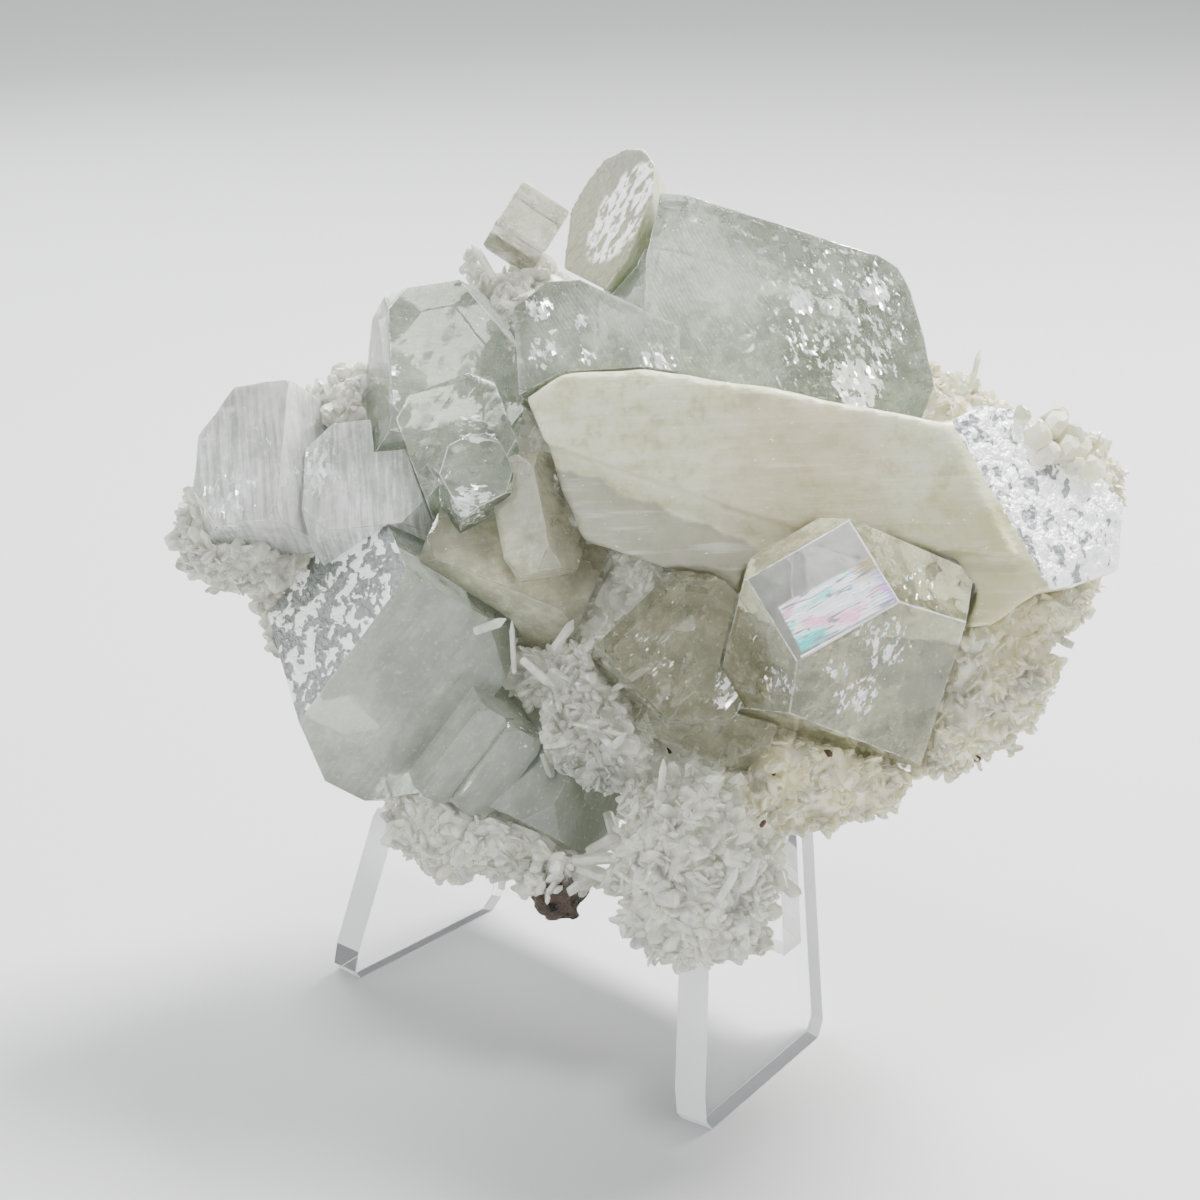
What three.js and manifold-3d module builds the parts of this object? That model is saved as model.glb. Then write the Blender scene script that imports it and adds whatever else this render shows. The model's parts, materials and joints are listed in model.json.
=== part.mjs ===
// Apophyllite cluster with stilbite on drusy quartz and basalt, set on a bent acrylic easel.
// Millimetres. +X to the right along the specimen, +Y away from the viewer, +Z up.
// The origin is the centre of the base of the whole object.
import * as THREE from 'three';
import { ConvexHull } from 'three/addons/math/ConvexHull.js';
import { mergeVertices } from 'three/addons/utils/BufferGeometryUtils.js';
import Module from 'manifold-3d';

const wasm = await Module();
wasm.setup();

// Clearance left between two touching minerals, and between the stone and the easel.
const CLEARANCE = 0.3;

// ---------------------------------------------------------------------------------------------
// Frames

// The specimen is described in its own frame: u to the right, v up the slab, w out of its face.
// On the easel the slab leans back, and its middle stands this far above the table.
const LEAN = 20;
const MIDDLE = new THREE.Vector3(0, 0, 45.9);

function leaning() {
  const lean = THREE.MathUtils.degToRad(LEAN);
  const u = new THREE.Vector3(1, 0, 0);
  const v = new THREE.Vector3(0, Math.sin(lean), Math.cos(lean));
  const w = new THREE.Vector3(0, -Math.cos(lean), Math.sin(lean));
  return new THREE.Matrix4().makeBasis(u, v, w).setPosition(MIDDLE);
}

const vector = ([x, y, z]) => new THREE.Vector3(x, y, z);

// A repeatable source of even numbers between 0 and 1.
function lottery(seed) {
  let state = seed;
  return () => {
    state = (Math.imul(state, 1664525) + 1013904223) >>> 0;
    return state / 4294967296;
  };
}

// ---------------------------------------------------------------------------------------------
// Solids bounded by planes. A plane is { normal, reach }: what lies beyond the reach is cut off.

const BLANK = 160;

function cutBy(planes, grow = 0) {
  let solid = solidOf(new THREE.BoxGeometry(BLANK, BLANK, BLANK));
  for (const { normal, reach } of planes) {
    solid = solid.trimByPlane([-normal.x, -normal.y, -normal.z], -(reach + grow));
  }
  return solid;
}

function solidOf(geometry) {
  const plain = geometry.clone();
  plain.deleteAttribute('normal');
  plain.deleteAttribute('uv');
  const merged = mergeVertices(plain, 1e-4);
  return new wasm.Manifold(new wasm.Mesh({
    numProp: 3,
    vertProperties: merged.attributes.position.array,
    triVerts: new Uint32Array(merged.index.array),
  }));
}

// The planes of the smallest convex body round a list of corners.
function planesRound(corners) {
  const hull = new ConvexHull().setFromPoints(corners);
  const planes = [];
  for (const face of hull.faces) {
    const known = planes.some((p) => p.normal.dot(face.normal) > 0.9999);
    if (!known) planes.push({ normal: face.normal.clone(), reach: face.constant });
  }
  return planes;
}

// A tetragonal crystal: four prism faces, a base at each end, and four pyramid faces that
// truncate the corners of each end. `axis` is the normal of the base, `side` of a prism face.
// `reach` is the distance of the faces from `at`: [side, -side, cross, -cross, axis, -axis].
// `top` and `foot` tell how deep the pyramid faces cut the corners ++, +-, -+ and --, and
// `edges` how deep narrow faces cut the four long edges between the prism faces.
// `more` lists other faces, [along side, along cross, along axis, distance from `at`].
const PYRAMID_SIDE = 0.615;
const PYRAMID_AXIS = 0.494;
const CORNERS = [[1, 1], [1, -1], [-1, 1], [-1, -1]];
const SLIGHT = [1, 1, 1, 1];
const SHARP = [0, 0, 0, 0];

function crystal({ at, axis, side, reach, top = SLIGHT, foot = SLIGHT, edges = SHARP, more = [] }) {
  const centre = vector(at);
  const c = vector(axis).normalize();
  const f = vector(side).projectOnPlane(c).normalize();
  const t = c.clone().cross(f);
  const planes = [];
  const add = (normal, distance) => {
    planes.push({ normal, reach: distance + normal.dot(centre) });
  };
  const facing = (alongSide, alongCross, alongAxis) => new THREE.Vector3()
    .addScaledVector(f, alongSide)
    .addScaledVector(t, alongCross)
    .addScaledVector(c, alongAxis)
    .normalize();
  [f, t, c].forEach((direction, i) => {
    add(direction.clone(), reach[2 * i]);
    add(direction.clone().negate(), reach[2 * i + 1]);
  });
  CORNERS.forEach(([alongSide, alongCross], i) => {
    const sideways = reach[alongSide > 0 ? 0 : 1] + reach[alongCross > 0 ? 2 : 3];
    const slanted = (s, a) => facing(s * alongSide, s * alongCross, a);
    add(slanted(PYRAMID_SIDE, PYRAMID_AXIS),
      PYRAMID_SIDE * sideways + PYRAMID_AXIS * reach[4] - top[i]);
    add(slanted(PYRAMID_SIDE, -PYRAMID_AXIS),
      PYRAMID_SIDE * sideways + PYRAMID_AXIS * reach[5] - foot[i]);
    if (edges[i] > 0) add(slanted(1, 0), Math.SQRT1_2 * sideways - edges[i]);
  });
  for (const [alongSide, alongCross, alongAxis, distance] of more) {
    add(facing(alongSide, alongCross, alongAxis), distance);
  }
  return planes;
}

// A tablet: a flat outline, [along, across] in millimetres, swept through its thickness and
// tapered towards its back. `face` is the normal of its front, `along` its long direction.
function tablet({ at, face, along, outline, thickness, taper = 0.8 }) {
  const n = vector(face).normalize();
  const a = vector(along).projectOnPlane(n).normalize();
  const b = a.clone().cross(n);
  const corners = [];
  for (const [x, y] of outline) {
    for (const [depth, scale] of [[0, 1], [thickness, taper]]) {
      corners.push(vector(at)
        .addScaledVector(a, x * scale)
        .addScaledVector(b, y * scale)
        .addScaledVector(n, -depth));
    }
  }
  return planesRound(corners);
}

// Directions spread evenly over a sphere.
const GOLDEN = 2.39996;

function spread(index, count, start) {
  const height = 1 - (2 * index + 1) / count;
  const ring = Math.sqrt(1 - height * height);
  const angle = index * GOLDEN + start;
  return new THREE.Vector3(ring * Math.cos(angle), height, ring * Math.sin(angle));
}

// A point of an ellipsoid that is turned about the slab's upright, in degrees.
function onLump({ at, radii, turn = 0 }, direction) {
  return direction.clone()
    .multiply(vector(radii))
    .applyAxisAngle(UPRIGHT, -THREE.MathUtils.degToRad(turn))
    .add(vector(at));
}

const UPRIGHT = new THREE.Vector3(0, 1, 0);

// A rounded lump: corners spread over an ellipsoid and shifted a little, so no two are alike.
function lump({ count = 20, rough = 0.12, seed = 1, ...form }) {
  const draw = lottery(seed);
  const corners = [];
  for (let i = 0; i < count; i += 1) {
    const swell = 1 + rough * (2 * draw() - 1);
    corners.push(onLump(form, spread(i, count, seed).multiplyScalar(swell)));
  }
  return planesRound(corners);
}

// ---------------------------------------------------------------------------------------------
// The minerals, each a list of grown-together bodies, in the slab's frame

// The clear gem in front: its base is ringed by four broad pyramid faces.
const frontGem = [
  crystal({
    at: [18.4, 0.7, 19], axis: [-3, 16, 99], side: [97, -25, 7],
    reach: [12.4, 6.6, 6.6, 10, 0, 24], top: [0.3, 0.3, 4.6, 6], edges: [0.8, 0, 3.4, 0.6],
    more: [[0.52, 0.52, 0.68, 3.64], [0.57, -0.57, 0.6, 3.15]],
  }),
];

// The smaller clear crystal at its left, with a thin step along its upper left edge.
const FRONT_SMALL = { axis: [5, 20, 97], side: [-70, 70, -10] };
const frontSmall = [
  crystal({
    ...FRONT_SMALL, at: [7.4, -5, 5],
    reach: [4.4, 7, 6, 6, 6.5, 6], top: [1.2, 1.6, 1.4, 2], edges: [0, 0.8, 2.6, 1.4],
  }),
  crystal({
    ...FRONT_SMALL, at: [7.4, -5, 5],
    reach: [5.7, 4, 5.6, 5, 5, 6], top: [0.6, 1, 1, 1], edges: [0, 0.8, 0, 0],
  }),
  crystal({
    at: [9, -9, 4], axis: [10, -10, 99], side: [90, -40, 0],
    reach: [6, 5, 4, 4, 5.5, 6], top: [2, 2, 1, 1],
  }),
];

// The broad block low on the left, with a pearly base turned up and parallel ledges beside it.
const LOWER_LEFT = { axis: [-77, 45, 46], side: [25, -45, 86] };
const lowerLeft = [
  crystal({
    ...LOWER_LEFT, at: [-19.8, -4.4, -3.9],
    reach: [8, 13, 9.8, 11.1, 6.1, 7.9], top: [0.8, 0.5, 2, 1.5], foot: [2.6, 2, 2, 2],
    more: [[0, -0.82, 0.58, 9.4]],
  }),
  crystal({
    ...LOWER_LEFT, at: [-12.9, -11.4, -3.4],
    reach: [6.2, 8, 4.8, 5.4, 2.6, 1.4], top: [0.5, 0.5, 0.5, 0.5], foot: [0.7, 0.7, 1, 1],
  }),
  crystal({
    ...LOWER_LEFT, at: [-10.4, -13, -4.4],
    reach: [6.2, 8, 4.6, 4.8, 2.4, 1.6], top: [0.5, 0.5, 0.5, 0.5], foot: [0.7, 0.7, 1, 1],
  }),
  crystal({
    axis: [-50, 40, 76], side: [60, -20, 50], at: [-4, -15, -3.5],
    reach: [5, 5, 5.5, 6.5, 4, 5], top: [1.5, 1.5, 1, 1],
  }),
];

// The block high on the left, with two smaller sharp crystals below it.
const upperLeft = [
  crystal({
    at: [-15.4, 22, -5.4], axis: [-6, 96, -26], side: [30, 26, 92],
    reach: [4.6, 6, 7, 5.2, 6.6, 8], top: [3.4, 1.7, 2.6, 3.2], more: [[0, -0.22, 0.975, 5.97]],
  }),
  crystal({
    at: [-11.2, 10.9, 3.5], axis: [10, 25, 96], side: [-50, 86, -18],
    reach: [2.8, 3.4, 3.2, 2.9, 3.4, 5], top: [1.2, 1.2, 1, 1.1],
  }),
  crystal({
    at: [-12.6, 14, -1], axis: [-10, 35, 93], side: [-35, 92, -30],
    reach: [4.4, 5, 4.6, 4.8, 4.6, 5], top: [1.2, 1.2, 1, 1],
  }),
];

// The block at the far left, one prism edge towards the viewer, and the smooth body below it.
const farLeft = [
  crystal({
    at: [-31.4, 12.7, -8], axis: [5, 95, -30], side: [-45, 27, 85],
    reach: [4.5, 5, 5, 4.6, 6.2, 7.4], top: [0.2, 2.2, 1, 2], foot: [0.6, 2, 1, 1],
  }),
  crystal({
    at: [-20, 9.6, -7], axis: [-20, 42, 88], side: [88, 10, 20],
    reach: [5.6, 6.4, 5.6, 5.6, 5, 6], top: [1.5, 1.5, 1.5, 1.5],
  }),
];

// The prism in the middle and the smooth field below it.
const centre = [
  crystal({
    at: [-5.8, 8, 5], axis: [-19, 97, -15], side: [-50, -5, 86],
    reach: [2.7, 3, 2.4, 2.4, 4.6, 6], top: [0.8, 1.2, 1, 1],
  }),
  crystal({
    at: [-7.6, 3, 0], axis: [15, 45, 88], side: [93, -36, 5],
    reach: [7.4, 8, 4.6, 4.4, 4, 6], top: [1.2, 1.4, 1, 1],
  }),
];

// The small cube at the top left.
const smallCube = [
  crystal({
    at: [-6.8, 34.8, -6.5], axis: [25, 22, 94], side: [50, 85, -35],
    reach: [2.5, 2.7, 2.6, 2.7, 2.6, 3.4], top: [0.2, 0.2, 0.2, 0.2], foot: [0.3, 0.3, 0.3, 0.3],
  }),
];

// The stilbite blade at the top, thick and round-headed.
const blade = [
  tablet({
    at: [0.7, 33.9, 1.5], face: [-28, 12, 95], along: [50, 85, 0], thickness: 6, taper: 0.9,
    outline: [[-5.5, -1.6], [-0.5, -3.8], [2.4, -3.8], [4.8, -3.4], [6.6, -2.2], [7.4, -0.6],
      [6.6, 1.2], [4.2, 2.4], [-2.2, 3.4], [-5.4, 3]],
  }),
];

// The long stilbite sheaf: a raised upper band, a lower band, and its pearly end at the right.
const sheaf = [
  tablet({
    at: [0, 0, 9], face: [-14, -4, 99], along: [1, 0, 0], thickness: 13, taper: 0.97,
    outline: [[-7, -17.6], [-3.4, -19.6], [3.7, -20], [7, -19.5], [15.2, -16.8], [24, -16.4],
      [29.4, -15.2], [33.8, -7.1], [36, -3.6], [21.6, -4.5], [14.9, -6.7], [7.8, -9.5],
      [-4.8, -13.5]],
  }),
  tablet({
    at: [0, 0, 7], face: [-16, -6, 98], along: [1, 0, 0], thickness: 12, taper: 0.97,
    outline: [[-4.8, -13.6], [-1.7, -5.4], [6.5, -2.3], [11, -0.5], [24, 3], [34, 2],
      [37.8, -0.8], [34, -8], [10, -12]],
  }),
  planesRound([
    [29.4, 15.2, 13.6], [32.5, 17, 11], [39.8, 15.9, 5.5], [46.4, 9, 4], [46, 2.8, 4.4],
    [41, 0.8, 9], [38, 0.8, 13], [30, 14, 3], [38, 14, -3], [44, 8, -4], [43, 3, -4],
    [36, 0, 2],
  ].map(vector)),
];

// The large clear block along the top, the smaller broken piece in front of it, and the part of
// the block that runs on behind the blade.
const topBlock = [
  tablet({
    at: [17.5, 27, 4], face: [10, 20, 97], along: [1, 0, 0], thickness: 17, taper: 0.86,
    outline: [[-13.5, 8], [-13.5, -3], [-12.2, -9.2], [-9.7, -9.1], [-7.2, -8], [-3.6, -7.3],
      [-0.8, -6], [5, -3.7], [8, -3.7], [9.2, -3], [10.3, -0.8], [11.2, 2.6], [12.2, 8],
      [11, 11]],
  }),
  tablet({
    at: [0, 23, 7.6], face: [-6, 16, 98], along: [1, 0, 0], thickness: 12, taper: 0.92,
    outline: [[-7.6, -2.7], [-4.6, -5.1], [-1.8, -5.2], [2.5, -3], [6.9, -0.8], [7, 4],
      [0, 7], [-7, 6]],
  }),
  tablet({
    at: [17.5, 27, -0.5], face: [10, 20, 97], along: [1, 0, 0], thickness: 12, taper: 0.9,
    outline: [[-17.5, 8], [-17.5, -3.5], [-8, -6], [-8, 8]],
  }),
];

// The basalt at the back and below: broken faces, thickest low on the left.
const matrix = [
  lump({ at: [-8, -1, -17], radii: [24, 17, 8.5], turn: 36, count: 26, seed: 3 }),
  lump({ at: [-15, -17.8, -25], radii: [7, 8.5, 7.2], count: 20, seed: 5 }),
  lump({ at: [-5, -16, -13], radii: [9, 9, 7], count: 18, seed: 7 }),
  lump({ at: [-3.8, -25, -4.6], radii: [3.9, 5.6, 6], count: 16, seed: 11 }),
  lump({ at: [14, 18, -13], radii: [17, 12, 7], count: 18, seed: 13 }),
];

// ---------------------------------------------------------------------------------------------
// The drusy quartz crust: lumps over the basalt, bristling with small pointed crystals

const CRUST = [
  { at: [0, 0, -5.6], radii: [38, 18, 8], turn: 20, points: 0 },
  { at: [8.4, -23.4, 5], radii: [7, 9, 6.5], points: 44 },
  { at: [10.8, -26.2, -4], radii: [5.2, 8.2, 5], points: 6 },
  { at: [28, -6.8, 1], radii: [13, 8.8, 6.5], turn: 10, points: 40 },
  { at: [38.5, 1, 0], radii: [6, 5, 6], points: 20 },
  { at: [44, 10.4, -0.5], radii: [3.4, 3.4, 3.4], points: 9 },
  { at: [38, 8, -6], radii: [8.5, 9, 4], points: 0 },
  { at: [18, -15, 0], radii: [11, 6, 6.5], points: 20 },
  { at: [-10.5, -20.4, -6], radii: [9.5, 5.2, 6.6], points: 26 },
  { at: [-13, -19.6, -13], radii: [6.8, 5, 8], points: 14 },
  { at: [1, -10, 1], radii: [6.5, 8, 6], points: 14 },
  { at: [-34, 6.5, -11], radii: [6, 5.8, 6], points: 20 },
  { at: [-27, 8.5, -15], radii: [9, 12, 6], points: 0 },
  { at: [-23, 17, -12], radii: [6, 5.2, 5.5], points: 8 },
  { at: [-7.5, 23.6, -10], radii: [7.5, 9, 6], points: 12 },
  { at: [29, 14, -4], radii: [10, 7.5, 7], points: 14 },
];

const POINT = { sides: 5, radius: 0.6, length: 2.1, head: 0.5, sunk: 0.9, rooted: 0.9 };

// One pointed crystal, a short prism with a pyramid head, on the end of `root` along `grow`.
function pointed(root, grow, size, turn) {
  const up = grow.clone().normalize();
  const along = new THREE.Vector3(1, 0, 0);
  if (Math.abs(up.x) > 0.8) along.set(0, 1, 0);
  along.projectOnPlane(up).normalize();
  const across = up.clone().cross(along);
  const corners = [];
  for (let i = 0; i < POINT.sides; i += 1) {
    const angle = turn + (2 * Math.PI * i) / POINT.sides;
    const rim = root.clone()
      .addScaledVector(along, size * POINT.radius * Math.cos(angle))
      .addScaledVector(across, size * POINT.radius * Math.sin(angle));
    corners.push(rim.clone().addScaledVector(up, -POINT.sunk));
    corners.push(rim.clone().addScaledVector(up, size * POINT.length * (1 - POINT.head)));
  }
  corners.push(root.clone().addScaledVector(up, size * POINT.length));
  return planesRound(corners);
}

function crust() {
  const draw = lottery(29);
  const bodies = [];
  CRUST.forEach((form, index) => {
    bodies.push(lump({ ...form, count: 24, rough: 0.08, seed: 17 + index }));
    for (let i = 0; i < form.points; i += 1) {
      const out = spread(i, form.points, index);
      out.z = Math.abs(out.z) - 0.35;
      out.normalize();
      const root = onLump(form, out.clone().multiplyScalar(POINT.rooted));
      const grow = out.clone().add(new THREE.Vector3(
        0.9 * (draw() - 0.5),
        0.9 * (draw() - 0.5),
        0.9 * (draw() - 0.5),
      ));
      bodies.push(pointed(root, grow, 0.8 + 0.7 * draw(), 6 * draw()));
    }
  });
  return bodies;
}

// ---------------------------------------------------------------------------------------------
// The easel: one bent sheet, two side wings and a back. Table frame, [x, y] on the table.

const EASEL = {
  sheet: 3.2,
  leftFoot: [-27.4, 14.7],
  rightFoot: [9.8, -15.6],
  leftHeel: [-12.3, 32.2],
  rightHeel: [21.1, 1.1],
  inward: 0.15,
  strutBack: 0.105,
  backFrom: 9,
  backTo: 46,
};

// Outlines of the parts of a wing, [distance back from the foot, height]: the panel under the
// notch, the hook in front of the notch and the strut behind it.
const WING = [
  [[0.8, 0], [20.5, 0], [21.7, 1.2], [22.9, 13.5], [3, 13.5], [0.2, 3.4], [0, 1]],
  [[2.4, 11.4], [7.4, 11.4], [7.4, 13.5], [5.6, 17.4], [4.5, 17.6], [3.9, 16.8]],
  [[12, 11.4], [22.7, 11.4], [26.3, 46], [23.3, 46], [12, 13.5]],
];

function wing(foot, heel, towards) {
  const start = new THREE.Vector3(foot[0], foot[1], 0);
  const back = new THREE.Vector3(heel[0] - foot[0], heel[1] - foot[1], 0).normalize();
  const inside = new THREE.Vector3(-back.y, back.x, 0).multiplyScalar(towards);
  const rise = new THREE.Vector3(0, 0, 1).addScaledVector(inside, EASEL.inward);
  return WING.map((outline) => {
    const corners = [];
    for (const [distance, height] of outline) {
      for (const depth of [0, EASEL.sheet]) {
        corners.push(start.clone()
          .addScaledVector(back, distance)
          .addScaledVector(rise, height)
          .addScaledVector(inside, depth));
      }
    }
    return planesRound(corners);
  });
}

function easelPlanes() {
  const left = wing(EASEL.leftFoot, EASEL.leftHeel, -1);
  const right = wing(EASEL.rightFoot, EASEL.rightHeel, 1);
  return [...left, ...right, easelBack()];
}

// The back joins the two wings; its lower edge hangs clear of the table.
function easelBack() {
  const from = new THREE.Vector3(EASEL.leftHeel[0], EASEL.leftHeel[1], 0);
  const to = new THREE.Vector3(EASEL.rightHeel[0], EASEL.rightHeel[1], 0);
  const along = to.clone().sub(from).normalize();
  const out = new THREE.Vector3(-along.y, along.x, 0);
  const width = from.distanceTo(to);
  const corners = [];
  for (const height of [EASEL.backFrom, EASEL.backTo]) {
    const inset = 0.5 + height * EASEL.inward;
    for (const distance of [inset, width - inset]) {
      for (const depth of [0.6, 0.6 + EASEL.sheet]) {
        corners.push(from.clone()
          .addScaledVector(along, distance)
          .addScaledVector(out, height * EASEL.strutBack - depth)
          .add(new THREE.Vector3(0, 0, height)));
      }
    }
  }
  return planesRound(corners);
}

// ---------------------------------------------------------------------------------------------
// Assembly: every mineral gives way to those before it, by the clearance

const FINISH = {
  clear: { color: 0xdfe3dd, roughness: 0.06 },
  milky: { color: 0xd5dad4, roughness: 0.16 },
  cream: { color: 0xd6d3bd, roughness: 0.32 },
  druse: { color: 0xcfcdbd, roughness: 0.3 },
  basalt: { color: 0x5d554b, roughness: 0.85 },
  acrylic: { color: 0xe9eceb, roughness: 0.08 },
};

const MINERALS = [
  ['apophyllite_front_gem', frontGem, 'clear'],
  ['apophyllite_front_small', frontSmall, 'clear'],
  ['apophyllite_lower_left', lowerLeft, 'milky'],
  ['apophyllite_upper_left', upperLeft, 'clear'],
  ['apophyllite_far_left', farLeft, 'milky'],
  ['apophyllite_centre', centre, 'clear'],
  ['apophyllite_small_cube', smallCube, 'milky'],
  ['stilbite_blade', blade, 'cream'],
  ['stilbite_sheaf', sheaf, 'cream'],
  ['apophyllite_top_block', topBlock, 'clear'],
  ['quartz_druse', crust(), 'druse'],
  ['basalt_matrix', matrix, 'basalt'],
];

const TINY = 0.004;

function largest(solid) {
  return solid.decompose().sort((a, b) => b.volume() - a.volume())[0];
}

// The largest body of a solid, without slivers.
function mainBody(solid) {
  return largest(largest(solid).simplify(TINY));
}

function geometryOf(solid) {
  const { numProp, vertProperties, triVerts } = solid.getMesh();
  const position = new Float32Array((vertProperties.length / numProp) * 3);
  for (let i = 0; i < position.length / 3; i += 1) {
    position.set(vertProperties.subarray(i * numProp, i * numProp + 3), i * 3);
  }
  const geometry = new THREE.BufferGeometry();
  geometry.setAttribute('position', new THREE.BufferAttribute(position, 3));
  geometry.setIndex(new THREE.BufferAttribute(new Uint32Array(triVerts), 1));
  geometry.computeVertexNormals();
  return geometry;
}

function meshOf(name, solid, finish) {
  const { color, roughness } = FINISH[finish];
  const material = new THREE.MeshStandardMaterial({ color, roughness, metalness: 0 });
  const mesh = new THREE.Mesh(geometryOf(solid), material);
  mesh.name = name;
  return mesh;
}

function build() {
  const group = new THREE.Group();
  group.name = 'apophyllite_cluster';
  const place = leaning().toArray();
  const easel = easelPlanes();
  const stand = mainBody(wasm.Manifold.union(easel.map((planes) => cutBy(planes))));
  const standRoom = wasm.Manifold.union(easel.map((planes) => cutBy(planes, CLEARANCE)));
  group.add(meshOf('acrylic_easel', stand, 'acrylic'));

  let taken = null;
  for (const [name, bodies, finish] of MINERALS) {
    const solid = wasm.Manifold.union(bodies.map((planes) => cutBy(planes)));
    const room = wasm.Manifold.union(bodies.map((planes) => cutBy(planes, CLEARANCE)));
    const free = taken ? solid.subtract(taken) : solid;
    group.add(meshOf(name, mainBody(free.transform(place).subtract(standRoom)), finish));
    taken = taken ? taken.add(room) : room;
  }

  const box = new THREE.Box3().setFromObject(group, true);
  const base = new THREE.Vector3(
    (box.min.x + box.max.x) / 2,
    (box.min.y + box.max.y) / 2,
    box.min.z,
  );
  for (const mesh of group.children) mesh.geometry.translate(-base.x, -base.y, -base.z);
  return group;
}

export default build();
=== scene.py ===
"""Dresses the apophyllite cluster: crystals, stilbite, druse, basalt, easel and stage."""

import json
import math
import random
from typing import NamedTuple

import bmesh
import bpy
from bpy.props import FloatProperty, FloatVectorProperty, IntProperty, PointerProperty
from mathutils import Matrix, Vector, noise
from mathutils.bvhtree import BVHTree


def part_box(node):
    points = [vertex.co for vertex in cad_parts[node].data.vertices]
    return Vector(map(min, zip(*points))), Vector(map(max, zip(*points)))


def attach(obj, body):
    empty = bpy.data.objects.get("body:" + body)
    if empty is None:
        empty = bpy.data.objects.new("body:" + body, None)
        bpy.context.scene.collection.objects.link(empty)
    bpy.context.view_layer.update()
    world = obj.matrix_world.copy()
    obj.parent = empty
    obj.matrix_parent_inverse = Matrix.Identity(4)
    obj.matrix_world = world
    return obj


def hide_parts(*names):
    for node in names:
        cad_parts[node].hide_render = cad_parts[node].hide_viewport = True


bl_info = {
    "name": "Apophyllite Cluster",
    "version": (1, 0, 0),
    "blender": (4, 5, 0),
    "location": "View3D > Sidebar > Cluster",
    "description": "Builds the looks of a mineral specimen on its easel",
    "category": "Object",
}

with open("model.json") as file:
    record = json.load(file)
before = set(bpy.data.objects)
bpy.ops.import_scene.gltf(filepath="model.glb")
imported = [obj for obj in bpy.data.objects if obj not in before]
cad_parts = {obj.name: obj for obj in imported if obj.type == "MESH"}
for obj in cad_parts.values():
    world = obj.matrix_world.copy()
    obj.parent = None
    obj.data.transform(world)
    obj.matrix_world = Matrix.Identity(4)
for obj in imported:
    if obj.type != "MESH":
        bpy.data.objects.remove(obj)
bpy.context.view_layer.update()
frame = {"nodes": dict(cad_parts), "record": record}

MM = 0.001

# The specimen's own frame: u to the right, v up the slab, w out of its face, in millimetres.
# The slab leans back, and its middle is placed from the lowest corner of the easel.
LEAN = math.radians(20)
EASEL_TO_MIDDLE = Vector((27.287, 15.515, 45.9))
SLAB_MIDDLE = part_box("acrylic_easel")[0] + EASEL_TO_MIDDLE * MM

# How far the camera stands from the slab's middle, in millimetres.
VIEWER = 217


def slab_direction(u, v, w):
    """A direction of the slab as one of the frame."""
    return Vector(
        (
            u,
            v * math.sin(LEAN) - w * math.cos(LEAN),
            v * math.cos(LEAN) + w * math.sin(LEAN),
        )
    )


def slab_point(u, v, w):
    """A place on the slab, in millimetres, as one in the frame, in metres."""
    return SLAB_MIDDLE + slab_direction(u, v, w) * MM


OUTWARD = slab_direction(0, 0, 1)
INWARD = slab_direction(0, 0, -1)
UPWARD = slab_direction(0, 1, 0)

# The slab's directions, with its depth shrunk, for zones on its face.
ZONE_AXES = (slab_direction(1, 0, 0), slab_direction(0, 1, 0), slab_direction(0, 0, 0.25))


# ---------------------------------------------------------------------------------------------
# Materials


def plug(tree, slot, value):
    """Sets a socket to a value, or links it."""
    if isinstance(value, Wire):
        tree.links.new(value.socket, slot)
    elif slot.type == "RGBA" and len(value) == 3:
        slot.default_value = (*value, 1)
    else:
        slot.default_value = value


def new_node(tree, kind, settings, sockets, output=0):
    """A node's output: its settings come first, then the values or links of its sockets."""
    node = tree.nodes.new(kind)
    for key, value in settings.items():
        setattr(node, key, value)
    for key, value in sockets.items():
        plug(tree, node.inputs[key], value)
    return Wire(tree, node.outputs[output])


def both_ways(operation):
    """An operator of wires, and its reflected form."""

    def plain(self, other):
        return self.math(operation, self, other)

    def reflected(self, other):
        return self.math(operation, other, self)

    return plain, reflected


class Wire:
    """A socket of a material that can be used in a formula."""

    __add__, __radd__ = both_ways("ADD")
    __sub__, __rsub__ = both_ways("SUBTRACT")
    __mul__, __rmul__ = both_ways("MULTIPLY")
    __truediv__, __rtruediv__ = both_ways("DIVIDE")
    __pow__, __rpow__ = both_ways("POWER")

    def __init__(self, tree, socket):
        self.tree = tree
        self.socket = socket

    def math(self, operation, *operands):
        """The result of a Math node."""
        sockets = dict(enumerate(operands))
        return new_node(self.tree, "ShaderNodeMath", {"operation": operation}, sockets)

    def vector_math(self, operation, *operands, output=0):
        """The result of a Vector Math node."""
        sockets = dict(enumerate(operands))
        settings = {"operation": operation}
        return new_node(self.tree, "ShaderNodeVectorMath", settings, sockets, output)

    def frac(self):
        """The part after the decimal point."""
        return self.math("FRACT", self)

    def magnitude(self):
        """The value without its sign."""
        return self.math("ABSOLUTE", self)

    def most(self, other):
        """The larger of two values."""
        return self.math("MAXIMUM", self, other)

    def rise(self, low, high):
        """0 up to low, 1 from high on, and smooth between."""
        settings = {"interpolation_type": "SMOOTHSTEP"}
        return new_node(self.tree, "ShaderNodeMapRange", settings, {0: self, 1: low, 2: high})

    def along(self, direction):
        """How far a place lies along a direction."""
        return self.vector_math("DOT_PRODUCT", self, direction, output=1)


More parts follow.
